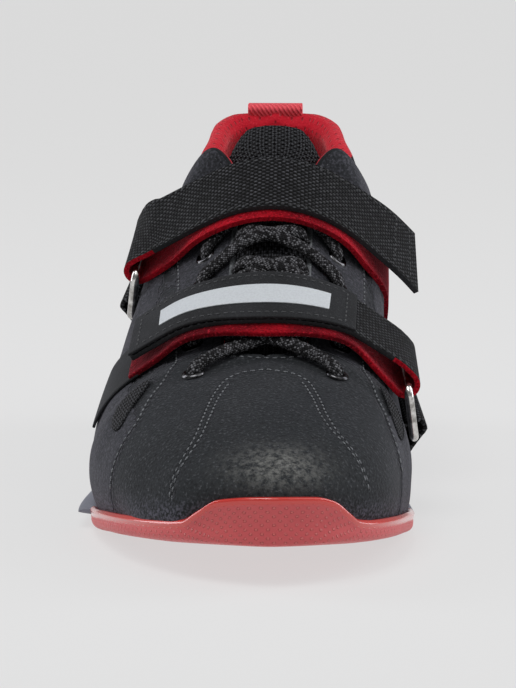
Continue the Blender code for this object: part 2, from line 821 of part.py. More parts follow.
def on_band(number, along, sideways, lift):
    """The point at a distance along a strap and beside its middle, lifted off the skin."""
    line = band_line(number, round(sideways, 6))
    place = float(np.interp(along, line[:, 0], line[:, 1]))
    across = float(np.interp(along, line[:, 0], line[:, 2]))
    return lifted(place, across, lift)


def tight(line, number):
    """A line of points over the shoe without its sags, as a band drawn tight runs. It is judged
    square to the strap's slope."""
    slope, side = math.radians(strap_fact(number, "slope")), strap_fact(number, "ring_side")
    line = np.array(line, float)
    flat = np.column_stack([-side * line[:, 0], line @ np.array([0.0, -math.sin(slope), math.cos(slope)])])
    kept = []
    for j in range(len(line)):
        while len(kept) > 1:
            (a, b), (c, d) = flat[kept[-1]] - flat[kept[-2]], flat[j] - flat[kept[-1]]
            if a * d - b * c < 0:
                break
            kept.pop()
        kept.append(j)
    along = np.concatenate([[0], np.cumsum(np.linalg.norm(np.diff(line, axis=0), axis=1))])
    return np.column_stack([np.interp(along, along[kept], line[kept, k]) for k in range(3)])


def ribbon(name, number, path, thickness, finish, group, columns=3, tight_from=None, skipped=0):
    """A strap over the skin. Each path row is (along, lift, slip, width): the distance along the
    strap's line, how far its middle stands off the skin, how far it has slipped toward the
    heel, and its width. It is straight from edge to edge where it stands clear of the skin, and
    drawn tight from one of its rows on."""

    def over_it(i, j):
        along, lift, slip, width = path[j]
        share = i / columns
        near = on_band(number, along, slip + width * (share - 0.5), lift)
        edges = [on_band(number, along, slip + width * s, lift) for s in (-0.5, 0.5)]
        straight = min(1.0, max(0.0, (lift - 0.0025) / 0.003))
        return near + (edges[0] + (edges[1] - edges[0]) * share - near) * straight

    lines = [np.array([over_it(i, j) for j in range(len(path))]) for i in range(columns + 1)]
    if tight_from is not None:
        for line in lines:
            line[tight_from:] = tight(line[tight_from:], number)

    def position(i, j):
        return lines[i][j + skipped]

    return sheet_object(name, columns, len(path) - 1 - skipped, position, thickness, finish, group)


def fold(along, lift, radius, toward, steps=7):
    """Half a turn round a bar: distances and lifts, from under it to over it."""
    turns = [math.pi * k / (steps - 1) for k in range(steps)]
    return [(along + toward * radius * math.sin(t), lift - radius * math.cos(t)) for t in turns]


def base_lift(along):
    """How far the strap's first layer stands off the skin: over the laces in the middle."""
    share = min(1.0, max(0.0, (0.038 - abs(along)) / 0.014))
    return over_skin + (over_laces - over_skin) * share * share * (3 - 2 * share)


def bar_lift(number):
    return base_lift(strap_fact(number, "ring_at")) + fold_radius


def strap_path(number):
    """The anchor, over the instep, and round the ring's bar: along, lift, slip and width."""
    side, ring_at = strap_fact(number, "ring_side"), strap_fact(number, "ring_at")
    anchor, width = strap_fact(number, "anchor_at"), strap_fact(number, "width")
    wing = width * strap_fact(number, "anchor_width")
    path = []
    for along in np.linspace(-anchor, -0.62 * anchor, 5):
        share = (along + anchor) / (0.38 * anchor)
        lift = over_skin - 0.0006 * (1 - share)
        path.append((side * along, lift, -strap_slip, wing + (width - wing) * share))
    for along in np.linspace(-0.62 * anchor, ring_at - 0.006, 15)[1:]:
        path.append((side * along, base_lift(along), -strap_slip, width))
    turn = fold(ring_at, bar_lift(number), fold_radius, 1)
    for k, (along, lift) in enumerate(turn):
        slip = strap_slip * (2 * k / (len(turn) - 1) - 1)
        path.append((side * along, lift, slip, width))
    return path + return_path(number)


def return_path(number):
    """From the ring back over the strap to its free end: along, lift, slip and width."""
    side, ring_at = strap_fact(number, "ring_side"), strap_fact(number, "ring_at")
    end = strap_fact(number, "end_at")
    second = strap_thickness + strap_gap
    path = []
    for along in np.linspace(ring_at - 0.007, -end, 18):
        settled = base_lift(along) + second
        loose = max(0.0, 1 - (ring_at - along) / 0.024)
        lift = settled + (bar_lift(number) + fold_radius - settled) * loose * loose * (3 - 2 * loose)
        tail = max(0.0, (0.024 - along - end) / 0.024)
        lift += strap_fact(number, "end_lift") * tail * tail
        path.append((side * along, lift, strap_slip, strap_fact(number, "width")))
    return path


def make_straps(finish, group):
    for number in range(len(STRAP_TABLE)):
        name = strap_fact(number, "name")
        path = strap_path(number)
        last_of_fold = len(path) - len(return_path(number)) - 1
        ribbon(name, number, path, strap_thickness, finish, group, tight_from=last_of_fold)


def tab_lift():
    """The middle of a ring's lower bar stands this far off the skin, on its webbing."""
    return clearance + tab_thickness + clearance + ring_wire + ring_play


def ring_bars(number):
    """The middles of the ring's two bars, and the direction of both."""
    side = strap_fact(number, "ring_side")
    upper_at = side * (strap_fact(number, "ring_at") + 0.0005)
    lower_at = side * (strap_fact(number, "ring_at") + ring_reach)
    half = strap_fact(number, "width") / 2
    ends = [on_band(number, upper_at, s * half, bar_lift(number)) for s in (-1, 1)]
    feet = [on_band(number, lower_at, s * half, tab_lift()) for s in (-1, 1)]
    upper, lower = (ends[0] + ends[1]) / 2, (feet[0] + feet[1]) / 2
    along = ends[1] - ends[0] + (feet[1] - feet[0]) * 0.5
    along = along / np.linalg.norm(along)
    lower = lower - along * ((lower - upper) @ along)
    return upper, lower, along


def make_rings(finish, group):
    """Two rectangular wire rings: each has one bar in its strap's fold and one in its tab."""
    for number, name in enumerate(("instep_ring", "vamp_ring")):
        upper, lower, along = ring_bars(number)
        height = np.linalg.norm(lower - upper)
        down = (lower - upper) / height
        centre = (upper + lower) / 2
        wide = ring_inner_width / 2 + ring_wire - ring_corner
        tall = height / 2 - ring_corner
        points = []
        for quarter, (x, y) in enumerate(((1, 1), (-1, 1), (-1, -1), (1, -1))):
            for k in range(4):
                angle = math.radians(90 * quarter + 30 * k)
                a = x * wide + ring_corner * math.cos(angle)
                b = y * tall + ring_corner * math.sin(angle)
                points.append(centre + along * a + down * b)
        tube(name, points, ring_wire, finish, group, closed=True)


def make_ring_tabs(finish, group):
    """Webbing that folds round each ring's lower bar and is sewn down under it."""
    low = tab_thickness / 2 + clearance
    radius = tab_lift() - low
    settled = low + tab_thickness + strap_gap
    for number, name in enumerate(("instep_ring_tab", "vamp_ring_tab")):
        side = strap_fact(number, "ring_side")
        at = strap_fact(number, "ring_at") + ring_reach
        path = [(at + tab_length * (1 - share), low) for share in np.linspace(0, 1, 5)[:-1]]
        path += fold(at, tab_lift(), radius, -1)
        for share in np.linspace(0, 1, 5)[1:]:
            loose = tab_lift() + radius - settled
            path.append((at + tab_length * share, settled + loose * (1 - share) ** 2))
        rows = [(side * along, lift, 0.0, tab_width) for along, lift in path]
        ribbon(name, number, rows, tab_thickness, finish, group, columns=2)


def make_patch(finish, group):
    """The leather patch sewn on the outside of the vamp strap's free end."""
    raised = strap_thickness / 2 + clearance + patch_thickness / 2
    rows = [(along, lift + raised, slip, patch_width) for along, lift, slip, _ in return_path(1)]
    skipped = sum(row[0] >= patch_from_middle for row in rows)
    ribbon("strap_patch", 1, rows, patch_thickness, finish, group, tight_from=0, skipped=skipped)


def make_pull_loop(finish, group):
    """A loop of webbing that stands over the collar's back and hangs down outside it."""
    top = wall_controls(0.0, LATERAL)[3]
    curve = bezier(wall_controls(0.0, LATERAL), SECTION_SHARES)
    stand_off = clearance + loop_thickness / 2
    inner = top[1] - collar_padding - stand_off - 0.0016
    low = top[2] - loop_drop
    bottom = float(np.interp(low, curve[:, 2], curve[:, 1]))
    outer_top = top[1] + stand_off + 0.0012
    line = [
        (inner, top[2] - 0.008),
        (inner, top[2] - 0.001),
        (inner + 0.0012, top[2] + loop_rise - 0.0012),
        (inner + 0.0030, top[2] + loop_rise),
        (outer_top - 0.0005, top[2] + loop_rise),
        (outer_top + 0.0022, top[2] + loop_rise - 0.0022),
        (bottom + loop_bulge * 0.9, top[2] - 0.2 * loop_drop),
        (bottom + loop_bulge, top[2] - 0.5 * loop_drop),
        (bottom + stand_off + 0.0012, low),
    ]

    def position(i, j):
        y, z = line[j]
        return (loop_width * (i / 2 - 0.5), y, z)

    return sheet_object("pull_loop", 2, len(line) - 1, position, loop_thickness, finish, group)


def main():
    clear_scene()
    shoe = collection("weightlifting_shoe")
    cutters = collection("cutters", hidden=True)
    nubuck = material("charcoal_nubuck", (0.035, 0.037, 0.041), 0.85)
    rubber = material("red_rubber", (0.52, 0.055, 0.055), 0.45)
    wedge = material("grey_wedge", (0.30, 0.31, 0.34), 0.5)
    mesh_cloth = material("black_mesh", (0.02, 0.02, 0.022), 0.9)
    webbing = material("black_webbing", (0.016, 0.016, 0.018), 0.8)
    cord = material("flecked_cord", (0.03, 0.03, 0.03), 0.85)
    steel = material("nickel_steel", (0.62, 0.61, 0.60), 0.22, 1.0)
    red_webbing = material("red_webbing", (0.72, 0.05, 0.07), 0.7)
    foam = material("black_foam", (0.03, 0.03, 0.032), 0.9)
    make_outsole(rubber, shoe, cutters)
    make_midsole(wedge, shoe)
    make_insole(foam, shoe)
    make_upper(nubuck, shoe, cutters)
    make_tongue(mesh_cloth, shoe)
    make_eyelets(steel, shoe)
    make_laces(cord, shoe)
    make_straps(webbing, shoe)
    make_rings(steel, shoe)
    make_ring_tabs(webbing, shoe)
    make_patch(nubuck, shoe)
    make_pull_loop(red_webbing, shoe)


main()
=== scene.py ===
"""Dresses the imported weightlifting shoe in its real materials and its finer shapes.

Laid out as an add-on and run as a script. Metres, +Z up; the toe points to -Y and the big-toe
side is +X. Every piece lies on the same wall function as the solids: a place from heel (0) to
toe (1) and a distance over the skin from the middle line, negative to the outer side.
"""

import math
from functools import lru_cache

import bmesh
import bpy
import numpy as np
from mathutils import Matrix, Vector


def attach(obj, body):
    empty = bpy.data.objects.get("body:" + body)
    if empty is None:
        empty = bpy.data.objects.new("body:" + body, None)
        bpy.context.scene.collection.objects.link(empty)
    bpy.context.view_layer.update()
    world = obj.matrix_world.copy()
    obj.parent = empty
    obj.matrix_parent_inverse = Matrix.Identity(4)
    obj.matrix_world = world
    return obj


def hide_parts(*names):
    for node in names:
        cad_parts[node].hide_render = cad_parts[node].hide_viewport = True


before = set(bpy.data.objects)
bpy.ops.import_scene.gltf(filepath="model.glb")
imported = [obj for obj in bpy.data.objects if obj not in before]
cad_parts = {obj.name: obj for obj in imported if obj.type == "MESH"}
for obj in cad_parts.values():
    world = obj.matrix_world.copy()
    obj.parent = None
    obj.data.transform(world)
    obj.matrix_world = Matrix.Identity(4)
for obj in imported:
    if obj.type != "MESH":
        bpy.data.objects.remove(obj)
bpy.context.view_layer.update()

bl_info = {
    "name": "Weightlifting shoe",
    "version": (1, 0, 0),
    "blender": (4, 5, 0),
    "location": "View3D > Sidebar > Shoe",
    "description": "Dresses the weightlifting shoe's packed frame",
    "category": "Object",
}

BODY = "root"

# Driving sizes, as in the solids
sole_length = 0.300
ball_width = 0.110
heel_seat = 0.045
heel_stack = 0.036
forefoot_stack = 0.0070
toe_spring = 0.0122
instep_height = 0.116
collar_width = 0.073
rim = 0.0024
clearance = 0.0003
wall = 0.0024
collar_padding = 0.0066
outsole_plate = 0.004
edge_bevel = 0.0023
bumper_height = 0.0090
bumper_thickness = 0.0028
midsole_flare = 0.0040
groove_depth = 0.0012
groove_width = 0.0025
groove_pitch = 0.011
tongue_thickness = 0.005
tongue_half_width = 0.029
tongue_tip_rise = 0.021
tongue_root_from_toe = 0.2633 * sole_length
tongue_bend_from_toe = 0.5867 * sole_length
tongue_gap = 0.0007
tongue_spread = 0.34
eyelet_pairs = 6
eyelet_pitch = 0.0525 * sole_length
first_eyelet_from_toe = 0.295 * sole_length
eyelet_from_edge = 0.0112
lace_radius = 0.0021
instep_strap_width = 0.0265
vamp_strap_width = 0.0245
strap_thickness = 0.0018
strap_gap = 0.0005
strap_slip = 0.0009
fold_radius = 0.0039
ring_wire = 0.0015
ring_inner_width = 0.0290
ring_reach = 0.0165
ring_corner = 0.0030
tab_width = 0.022
tab_length = 0.014
tab_thickness = 0.0014
ring_play = 0.0011
patch_thickness = 0.0010
patch_width = 0.0250
patch_from_middle = 0.026
wing_from = 0.0475
wing_thickness = 0.0010
loop_width = 0.020
loop_thickness = 0.0014
loop_rise = 0.0048
loop_drop = 0.022
loop_bulge = 0.0045

LATERAL, MEDIAL = -1, 1
# About the length on the skin that the places 0 to 1, from heel to toe, stand for.
PLACE_LENGTH = sole_length * 1.15

# Each wall curve, from the heel to the toe: where it starts and ends along the sole, the sole's
# edge to either side in ball widths, the opening in collar widths, the height in instep heights,
# and its first and last directions.
WALL_COLUMNS = (
    "at", "lateral", "medial", "top_at", "opening", "height",
    "rise", "out_lateral", "out_medial", "reach", "lean",
)
WALL_TABLE = (
    (0.000, 0.000, 0.000, 0.036, 0.000, 0.992, 0.40, 0.020, 0.020, 0.36, 84),
    (0.018, 0.160, 0.168, 0.046, 0.200, 0.990, 0.40, 0.020, 0.020, 0.36, 84),
    (0.065, 0.276, 0.292, 0.080, 0.300, 0.972, 0.40, 0.016, 0.016, 0.36, 82),
    (0.150, 0.332, 0.350, 0.143, 0.350, 0.930, 0.40, 0.012, 0.012, 0.36, 80),
    (0.250, 0.344, 0.352, 0.215, 0.412, 0.860, 0.40, 0.012, 0.012, 0.36, 82),
    (0.350, 0.358, 0.340, 0.290, 0.468, 0.798, 0.38, 0.012, 0.012, 0.36, 82),
    (0.430, 0.386, 0.334, 0.345, 0.430, 0.876, 0.36, 0.014, 0.012, 0.38, 70),
    (0.490, 0.420, 0.350, 0.383, 0.290, 0.994, 0.36, 0.022, 0.014, 0.38, 54),
    (0.535, 0.448, 0.372, 0.405, 0.188, 0.925, 0.38, 0.034, 0.016, 0.38, 42),
    (0.575, 0.470, 0.398, 0.460, 0.175, 0.812, 0.39, 0.050, 0.018, 0.38, 36),
    (0.620, 0.488, 0.430, 0.540, 0.175, 0.700, 0.40, 0.068, 0.020, 0.38, 29),
    (0.665, 0.495, 0.452, 0.618, 0.182, 0.592, 0.44, 0.074, 0.022, 0.39, 22),
    (0.710, 0.487, 0.463, 0.668, 0.190, 0.522, 0.52, 0.070, 0.022, 0.42, 16),
    (0.755, 0.466, 0.462, 0.691, 0.150, 0.505, 0.60, 0.062, 0.022, 0.46, 9),
    (0.800, 0.433, 0.448, 0.700, 0.000, 0.496, 0.64, 0.056, 0.024, 0.50, 4),
    (0.865, 0.366, 0.414, 0.768, 0.000, 0.461, 0.66, 0.040, 0.026, 0.50, 7),
    (0.925, 0.268, 0.346, 0.838, 0.000, 0.424, 0.68, 0.030, 0.026, 0.48, 10),
    (0.965, 0.164, 0.262, 0.885, 0.000, 0.393, 0.68, 0.026, 0.026, 0.46, 15),
    (0.990, 0.050, 0.168, 0.905, 0.000, 0.377, 0.68, 0.026, 0.026, 0.46, 17),
    (1.000, -0.061, 0.061, 0.912, 0.000, 0.371, 0.68, 0.026, 0.026, 0.46, 18),
)
SOLE_COLUMNS = ("at", "pitch", "spring", "middle")
SOLE_TABLE = (
    (0.00, 1.00, 0.00, 0.000),
    (0.10, 1.00, 0.00, 0.010),
    (0.26, 0.90, 0.00, 0.021),
    (0.40, 0.60, 0.13, 0.027),
    (0.54, 0.25, 0.00, 0.028),
    (0.62, 0.08, 0.00, 0.025),
    (0.69, 0.00, 0.02, 0.026),
    (0.80, 0.00, 0.38, 0.037),
    (0.90, 0.00, 0.72, 0.051),
    (1.00, 0.00, 1.00, 0.061),
)
cup_from = 0.700
BUMPER_COLUMNS = ("place", "lateral", "medial")
BUMPER_TABLE = (
    (0.000, 0.00, 0.00),
    (0.872, 0.00, 0.00),
    (0.897, 0.00, 0.06),
    (0.915, 0.04, 0.36),
    (0.935, 0.42, 0.78),
    (0.955, 0.84, 0.95),
    (1.000, 1.00, 1.00),
)
TREAD_ZONES = ((0.0155, 4), (-0.1195, 9))
PADDING_TABLE = ((0.00, 1.0), (0.33, 1.0), (0.44, 0.55), (0.50, 0.12), (0.56, 0.0), (1.0, 0.0))

STRAP_COLUMNS = (
    "name", "from_toe", "slope", "width", "ring_side", "ring_at",
    "end_at", "end_lift", "anchor_at", "anchor_width",
)
STRAP_TABLE = (
    ("instep_strap", 0.5417, 36, instep_strap_width, LATERAL, 0.4455, 0.4636, 0.068, 0.782, 1.057),
    ("vamp_strap", 0.3540, 27, vamp_strap_width, MEDIAL, 0.4273, 0.3909, 0.018, 0.600, 1.245),
)
STRAP_SHARES_OF = {
    "from_toe": sole_length, "ring_at": ball_width, "end_at": ball_width,
    "end_lift": ball_width, "anchor_at": ball_width,
}
over_laces = 2 * lace_radius + 0.0012 + strap_thickness / 2
over_skin = 0.0011 + strap_thickness / 2

# Seams on the skin: (place, distance from the middle line).
TOE_SEAM = (
    (0.897, -0.0500), (0.895, -0.0370), (0.885, -0.0295), (0.857, -0.0235), (0.827, -0.0190),
    (0.803, -0.0135), (0.797, -0.0080), (0.799, 0.0000), (0.797, 0.0080), (0.803, 0.0140),
    (0.827, 0.0187), (0.857, 0.0232), (0.875, 0.0305), (0.878, 0.0395), (0.877, 0.0500),
)
QUARTER_SEAMS = {
    LATERAL: (
        (0.470, -0.0490), (0.510, -0.0440), (0.555, -0.0400), (0.580, -0.0370), (0.640, -0.0320),
        (0.695, -0.0300), (0.745, -0.0350), (0.777, -0.0430), (0.795, -0.0500), (0.793, -0.0600),
        (0.787, -0.0680), (0.780, -0.0770),
    ),
    MEDIAL: (
        (0.470, 0.0490), (0.510, 0.0450), (0.560, 0.0410), (0.590, 0.0390), (0.640, 0.0350),
        (0.693, 0.0335), (0.740, 0.0395), (0.770, 0.0470), (0.785, 0.0545), (0.785, 0.0605),
        (0.780, 0.0680),
    ),
}
# From where to where the throat's rim is cut leather, in shares of the sole from the heel.
THROAT_RIM = (0.405, 0.650)
THROAT_BOW = ((0.728, -0.0130), (0.755, -0.0060), (0.765, 0.0), (0.755, 0.0065), (0.728, 0.0135))
COUNTER_SEAM = ((0.300, 0.030), (0.285, 0.050), (0.240, 0.066), (0.190, 0.078), (0.170, 0.100))
# The painted highlight on the toe: its middle, and how far it reaches along each axis.
TOE_HIGHLIGHT_AT = (0.0100, -0.2460, 0.0365)
TOE_HIGHLIGHT_REACH = (0.0135, 0.012, 0.0058)
# Mesh vents: the tip, the foot and the width of each, on the skin.
VENTS = {
    LATERAL: ((0.728, -0.0395), (0.757, -0.0585), 0.0165),
    MEDIAL: ((0.718, 0.0405), (0.750, 0.0580), 0.0150),
}
# Soft troughs where the upper bends: the place of each, from and to which distance across it
# runs, how far its place leans over that run, its half width and its depth.
CREASES = (
    (0.640, -0.085, -0.036, 0.020, 0.0060, 0.0007),
    (0.675, -0.080, -0.042, 0.030, 0.0050, 0.0006),
    (0.655, 0.042, 0.085, 0.020, 0.0060, 0.0006),
    (0.700, 0.050, 0.080, 0.030, 0.0045, 0.0004),
    (0.470, -0.090, -0.050, 0.010, 0.0080, 0.0006),
    (0.430, 0.055, 0.100, 0.010, 0.0080, 0.0006),
    (0.772, -0.026, 0.027, 0.000, 0.0040, 0.0004),
    (0.160, -0.090, 0.090, 0.000, 0.0090, 0.0004),
)


def srgb(red, green, blue):
    """A colour in screen values from 0 to 255, as the linear values that shaders use."""
    shares = (v / 255 for v in (red, green, blue))
    return tuple(s / 12.92 if s <= 0.04045 else ((s + 0.055) / 1.055) ** 2.4 for s in shares)


def colour_setting(name, description, value):
    return bpy.props.FloatVectorProperty(
        name=name, description=description, subtype="COLOR", size=3, min=0.0, max=1.0, default=value
    )


def length_setting(name, description, value):
    return bpy.props.FloatProperty(
        name=name, description=description, subtype="DISTANCE", unit="LENGTH",
        default=value, min=0.0, precision=5,
    )


class ShoeColours(bpy.types.PropertyGroup):
    """The shoe's colours."""

    nubuck: colour_setting("Nubuck", "The upper's napped leather", srgb(34, 37, 40))
    # The colour of the painted highlight on the toe.
    toe_highlight: colour_setting("Highlight", "Where the nap is rubbed pale", srgb(140, 140, 136))
    rubber: colour_setting("Rubber", "The outsole", srgb(206, 84, 86))
    lip: colour_setting("Lip", "The outsole's glossy edge", srgb(205, 54, 46))
    wedge: colour_setting("Wedge", "The midsole", srgb(128, 130, 142))
    velvet: colour_setting("Velvet", "The straps' fastening face", srgb(170, 12, 30))
    lining: colour_setting("Lining", "The collar's padded lining", srgb(208, 27, 48))
    webbing: colour_setting("Webbing", "The straps' woven face", srgb(11, 11, 12))
    loop: colour_setting("Pull loop", "The heel's pull loop", srgb(255, 82, 96))
    thread: colour_setting("Thread", "The sewing thread", srgb(122, 125, 130))
    strip: colour_setting("Strip", "The patch's pale strip", srgb(205, 210, 214))
    metal: colour_setting("Metal", "The rings and eyelets", srgb(222, 220, 217))


class ShoeSizes(bpy.types.PropertyGroup):
    """The sizes of the finer shapes."""

    stitch_length: length_setting("Stitch length", "One stitch of the seams", 0.0019)
    stitch_pitch: length_setting("Stitch pitch", "From one stitch to the next", 0.0027)
    stitch_radius: length_setting("Stitch radius", "Half the thread's thickness", 0.00030)
    lace_width: length_setting("Lace width", "The flat lace's width", 0.0056)
    lace_height: length_setting("Lace height", "The flat lace's thickness", 0.0031)
    panel_step: length_setting("Panel step", "How far the side panel stands proud", 0.0005)


class StageSettings(bpy.types.PropertyGroup):
    """The floor, the light and the camera."""

    eye: bpy.props.FloatVectorProperty(
        name="Eye", description="Where the camera stands", subtype="TRANSLATION",
        unit="LENGTH", size=3, default=(0.0457, -1.455, 0.2626),
    )
    pitch: bpy.props.FloatProperty(
        name="Pitch", description="How far the camera looks down", subtype="ANGLE",
        default=math.radians(8.854),
    )
    turn: bpy.props.FloatProperty(
        name="Turn", description="How far the camera turns to the outer side", subtype="ANGLE",
        default=math.radians(2.005),
    )
    lens: bpy.props.FloatProperty(
        name="Lens", description="The focal length in millimetres", default=211.4
    )
    floor: colour_setting("Floor", "The floor's colour", srgb(112, 112, 112))
    world: bpy.props.FloatProperty(
        name="World", description="The strength of the even light", default=0.26
    )


def colours():
    return bpy.context.scene.shoe_colours


def sizes():
    return bpy.context.scene.shoe_sizes


def column(table, names, name):
    return np.array([row[names.index(name)] for row in table], float)


def flowing(knots, values, at, flat_ends=False):
    """A smooth curve through a table's values that never swings past them."""
    step = np.diff(knots)
    secant = np.diff(values) / step
    slope = np.zeros(len(knots))
    for i in range(1, len(knots) - 1):
        if secant[i - 1] * secant[i] > 0:
            before, after = 2 * step[i] + step[i - 1], step[i] + 2 * step[i - 1]
            slope[i] = (before + after) / (before / secant[i - 1] + after / secant[i])
    if not flat_ends:
        slope[0], slope[-1] = secant[0], secant[-1]
    at = np.clip(at, knots[0], knots[-1])
    i = np.clip(np.searchsorted(knots, at, side="right") - 1, 0, len(step) - 1)
    s = (at - knots[i]) / step[i]
    return (
        (1 + 2 * s) * (1 - s) ** 2 * values[i]
        + s * (1 - s) ** 2 * step[i] * slope[i]
        + s * s * (3 - 2 * s) * values[i + 1]
        + s * s * (s - 1) * step[i] * slope[i + 1]
    )


def flow_rows(knots, rows, at):
    """Each column of the rows as a smooth curve over the knots, at new places."""
    return np.column_stack([flowing(knots, rows[:, k], at) for k in range(rows.shape[1])])


def arc_of(points):
    """The distance of each point along its line."""
    return np.concatenate([[0], np.cumsum(np.linalg.norm(np.diff(points, axis=0), axis=1))])


def smooth(value, low, high):
    """From 0 at low to 1 at high, with soft ends."""
    share = np.clip((np.asarray(value, float) - low) / (high - low), 0, 1)
    return share * share * (3 - 2 * share)


def closed_spline(knots, points, period):
    """The second derivatives at each knot of a closed, twice smooth curve through the points."""
    count = len(knots)
    step = np.diff(np.append(knots, knots[0] + period))
    system, right = np.zeros((count, count)), np.zeros(points.shape)
    for i in range(count):
        before, after = step[i - 1], step[i]
        system[i, i - 1] += before
        system[i, i] += 2 * (before + after)
        system[i, (i + 1) % count] += after
        rise = (points[(i + 1) % count] - points[i]) / after
        right[i] = 6 * (rise - (points[i] - points[i - 1]) / before)
    return step, np.linalg.solve(system, right)


AT = column(WALL_TABLE, WALL_COLUMNS, "at") * sole_length


def sole_row(name, y):
    share = (heel_seat - np.asarray(y, float)) / sole_length
    knots = column(SOLE_TABLE, SOLE_COLUMNS, "at")
    return flowing(knots, column(SOLE_TABLE, SOLE_COLUMNS, name), share, flat_ends=True)


def ground(y):
    return toe_spring * sole_row("spring", y)


def sole_top(y):
    return ground(y) + forefoot_stack + (heel_stack - forefoot_stack) * sole_row("pitch", y)


def outline_rows(side):
    name = "lateral" if side == LATERAL else "medial"
    x = side * column(WALL_TABLE, WALL_COLUMNS, name) * ball_width
    return np.column_stack([x, heel_seat - AT])


def place_knots():
    lengths = [np.linalg.norm(np.diff(outline_rows(s), axis=0), axis=1) for s in (LATERAL, MEDIAL)]
    along = np.concatenate([[0], np.cumsum((lengths[0] + lengths[1]) / 2)])
    return along / along[-1]


KNOTS = place_knots()
LOOP_KNOTS = np.concatenate([KNOTS, 2 - KNOTS[-2:0:-1]])
LOOP_POINTS = np.concatenate([outline_rows(LATERAL), outline_rows(MEDIAL)[-2:0:-1]])
LOOP_STEP, LOOP_CURVATURE = closed_spline(LOOP_KNOTS, LOOP_POINTS, 2.0)
CUP = float(np.interp(cup_from * sole_length, AT, KNOTS))


def outline(place, side):
    """The sole's edge in plan at many places, with its outward normals."""
    along = np.where(side == LATERAL, place, 2 - place)

    def point(where):
        where = where % 2.0
        i = np.searchsorted(LOOP_KNOTS, where, side="right") - 1
        j = (i + 1) % len(LOOP_KNOTS)
        h = LOOP_STEP[i]
        b = (where - LOOP_KNOTS[i]) / h
        a = 1 - b
        h, a, b = h[:, None], a[:, None], b[:, None]
        bend = (a**3 - a) * LOOP_CURVATURE[i] + (b**3 - b) * LOOP_CURVATURE[j]
        return a * LOOP_POINTS[i] + b * LOOP_POINTS[j] + bend * h * h / 6

    tangent = point(along + 0.002) - point(along - 0.002)
    tangent /= np.linalg.norm(tangent, axis=1, keepdims=True)
    return point(along), np.column_stack([tangent[:, 1], -tangent[:, 0]])


def wall_row(name, place):
    values = column(WALL_TABLE, WALL_COLUMNS, name)
    return flowing(KNOTS, values, place, flat_ends=name != "opening")


def wall_controls(place, side):
    """The four control points of each wall curve, from the sole to the top."""
    place = np.atleast_1d(np.asarray(place, float))
    side = np.broadcast_to(side, place.shape)
    edge, out = outline(place, side)
    out = np.column_stack([out, np.zeros(len(out))])
    foot = np.column_stack([edge, np.zeros(len(edge))]) - out * rim
    foot[:, 2] = sole_top(foot[:, 1]) + clearance
    y = heel_seat - wall_row("top_at", place) * sole_length
    x = sole_row("middle", y) * ball_width + side * wall_row("opening", place) * collar_width
    top = np.column_stack([x, y, wall_row("height", place) * instep_height])
    up = np.array([0.0, 0.0, 1.0])
    length = np.linalg.norm(top - foot, axis=1)[:, None]
    belly = np.where(side == LATERAL, wall_row("out_lateral", place), wall_row("out_medial", place))
    low = foot + out * (rim + belly * ball_width)[:, None]
    low = low + up * (wall_row("rise", place) * (top[:, 2] - foot[:, 2]))[:, None]
    lean = np.radians(wall_row("lean", place))[:, None]
    down = out * np.cos(lean) - up * np.sin(lean)
    high = top + down * wall_row("reach", place)[:, None] * length
    return np.stack([foot, low, high, top], axis=1)


def bezier(points, share):
    """Points of many curves, each at its own share, or of one curve at many shares."""
    share = np.atleast_1d(share)[:, None]
    rest = 1 - share
    first, second, third, last = np.moveaxis(points, -2, 0)
    return (
        rest**3 * first + 3 * rest * rest * share * second
        + 3 * rest * share * share * third + share**3 * last
    )


PLACE_STEPS = 400
ACROSS = np.arange(-0.176, 0.1761, 0.002)
BEYOND = 0.15


@lru_cache(maxsize=1)
def skin_table():
    """The skin's points at even places and distances from the middle line, bridged over the
    throat and led straight on past the sole's edge, with half the bridge's length."""
    shares = np.linspace(0, 1, 26)
    places = np.linspace(0, 1, PLACE_STEPS + 1)
    walls = {side: wall_controls(places, side) for side in (LATERAL, MEDIAL)}
    table, half = np.zeros((len(places), len(ACROSS), 3)), np.zeros(len(places))
    for number in range(len(places)):
        left, right = walls[LATERAL][number], walls[MEDIAL][number]
        gap = np.linalg.norm(right[3] - left[3])
        bridge = [left[3], None, None, right[3]]
        for i, curve in ((1, left), (2, right)):
            direction = curve[3] - curve[2]
            bridge[i] = curve[3] + direction / max(np.linalg.norm(direction), 1e-9) * gap * 0.34
        parts = [bezier(c, shares) for c in (left, np.array(bridge), right)]
        points = np.concatenate([parts[0], parts[1][1:-1], parts[2][::-1]])
        arc = arc_of(points)
        arc -= np.interp(len(shares) * 1.5 - 1.5, np.arange(len(arc)), arc)
        half[number] = arc[-len(shares)]
        ends = [points[0] - points[1], points[-1] - points[-2]]
        ends = [e / np.linalg.norm(e) * BEYOND for e in ends]
        points = np.concatenate([[points[0] + ends[0]], points, [points[-1] + ends[1]]])
        arc = np.concatenate([[arc[0] - BEYOND], arc, [arc[-1] + BEYOND]])
        table[number] = np.column_stack([np.interp(ACROSS, arc, points[:, k]) for k in range(3)])
    return table, half


def over_foot(place, across):
    """Points over the foot at places and distances from the middle line."""
    table, _ = skin_table()
    place, across = np.broadcast_arrays(np.asarray(place, float), np.asarray(across, float))
    p = np.clip(place, 0, 1) * PLACE_STEPS
    i = np.minimum(p.astype(int), PLACE_STEPS - 1)
    a = np.clip((across - ACROSS[0]) / (ACROSS[1] - ACROSS[0]), 0, len(ACROSS) - 1.001)
    j = a.astype(int)
    p, a = (p - i)[..., None], (a - j)[..., None]
    low = table[i, j] * (1 - a) + table[i, j + 1] * a
    high = table[i + 1, j] * (1 - a) + table[i + 1, j + 1] * a
    return low * (1 - p) + high * p


def unit(vectors):
    return vectors / np.maximum(np.linalg.norm(vectors, axis=-1, keepdims=True), 1e-12)


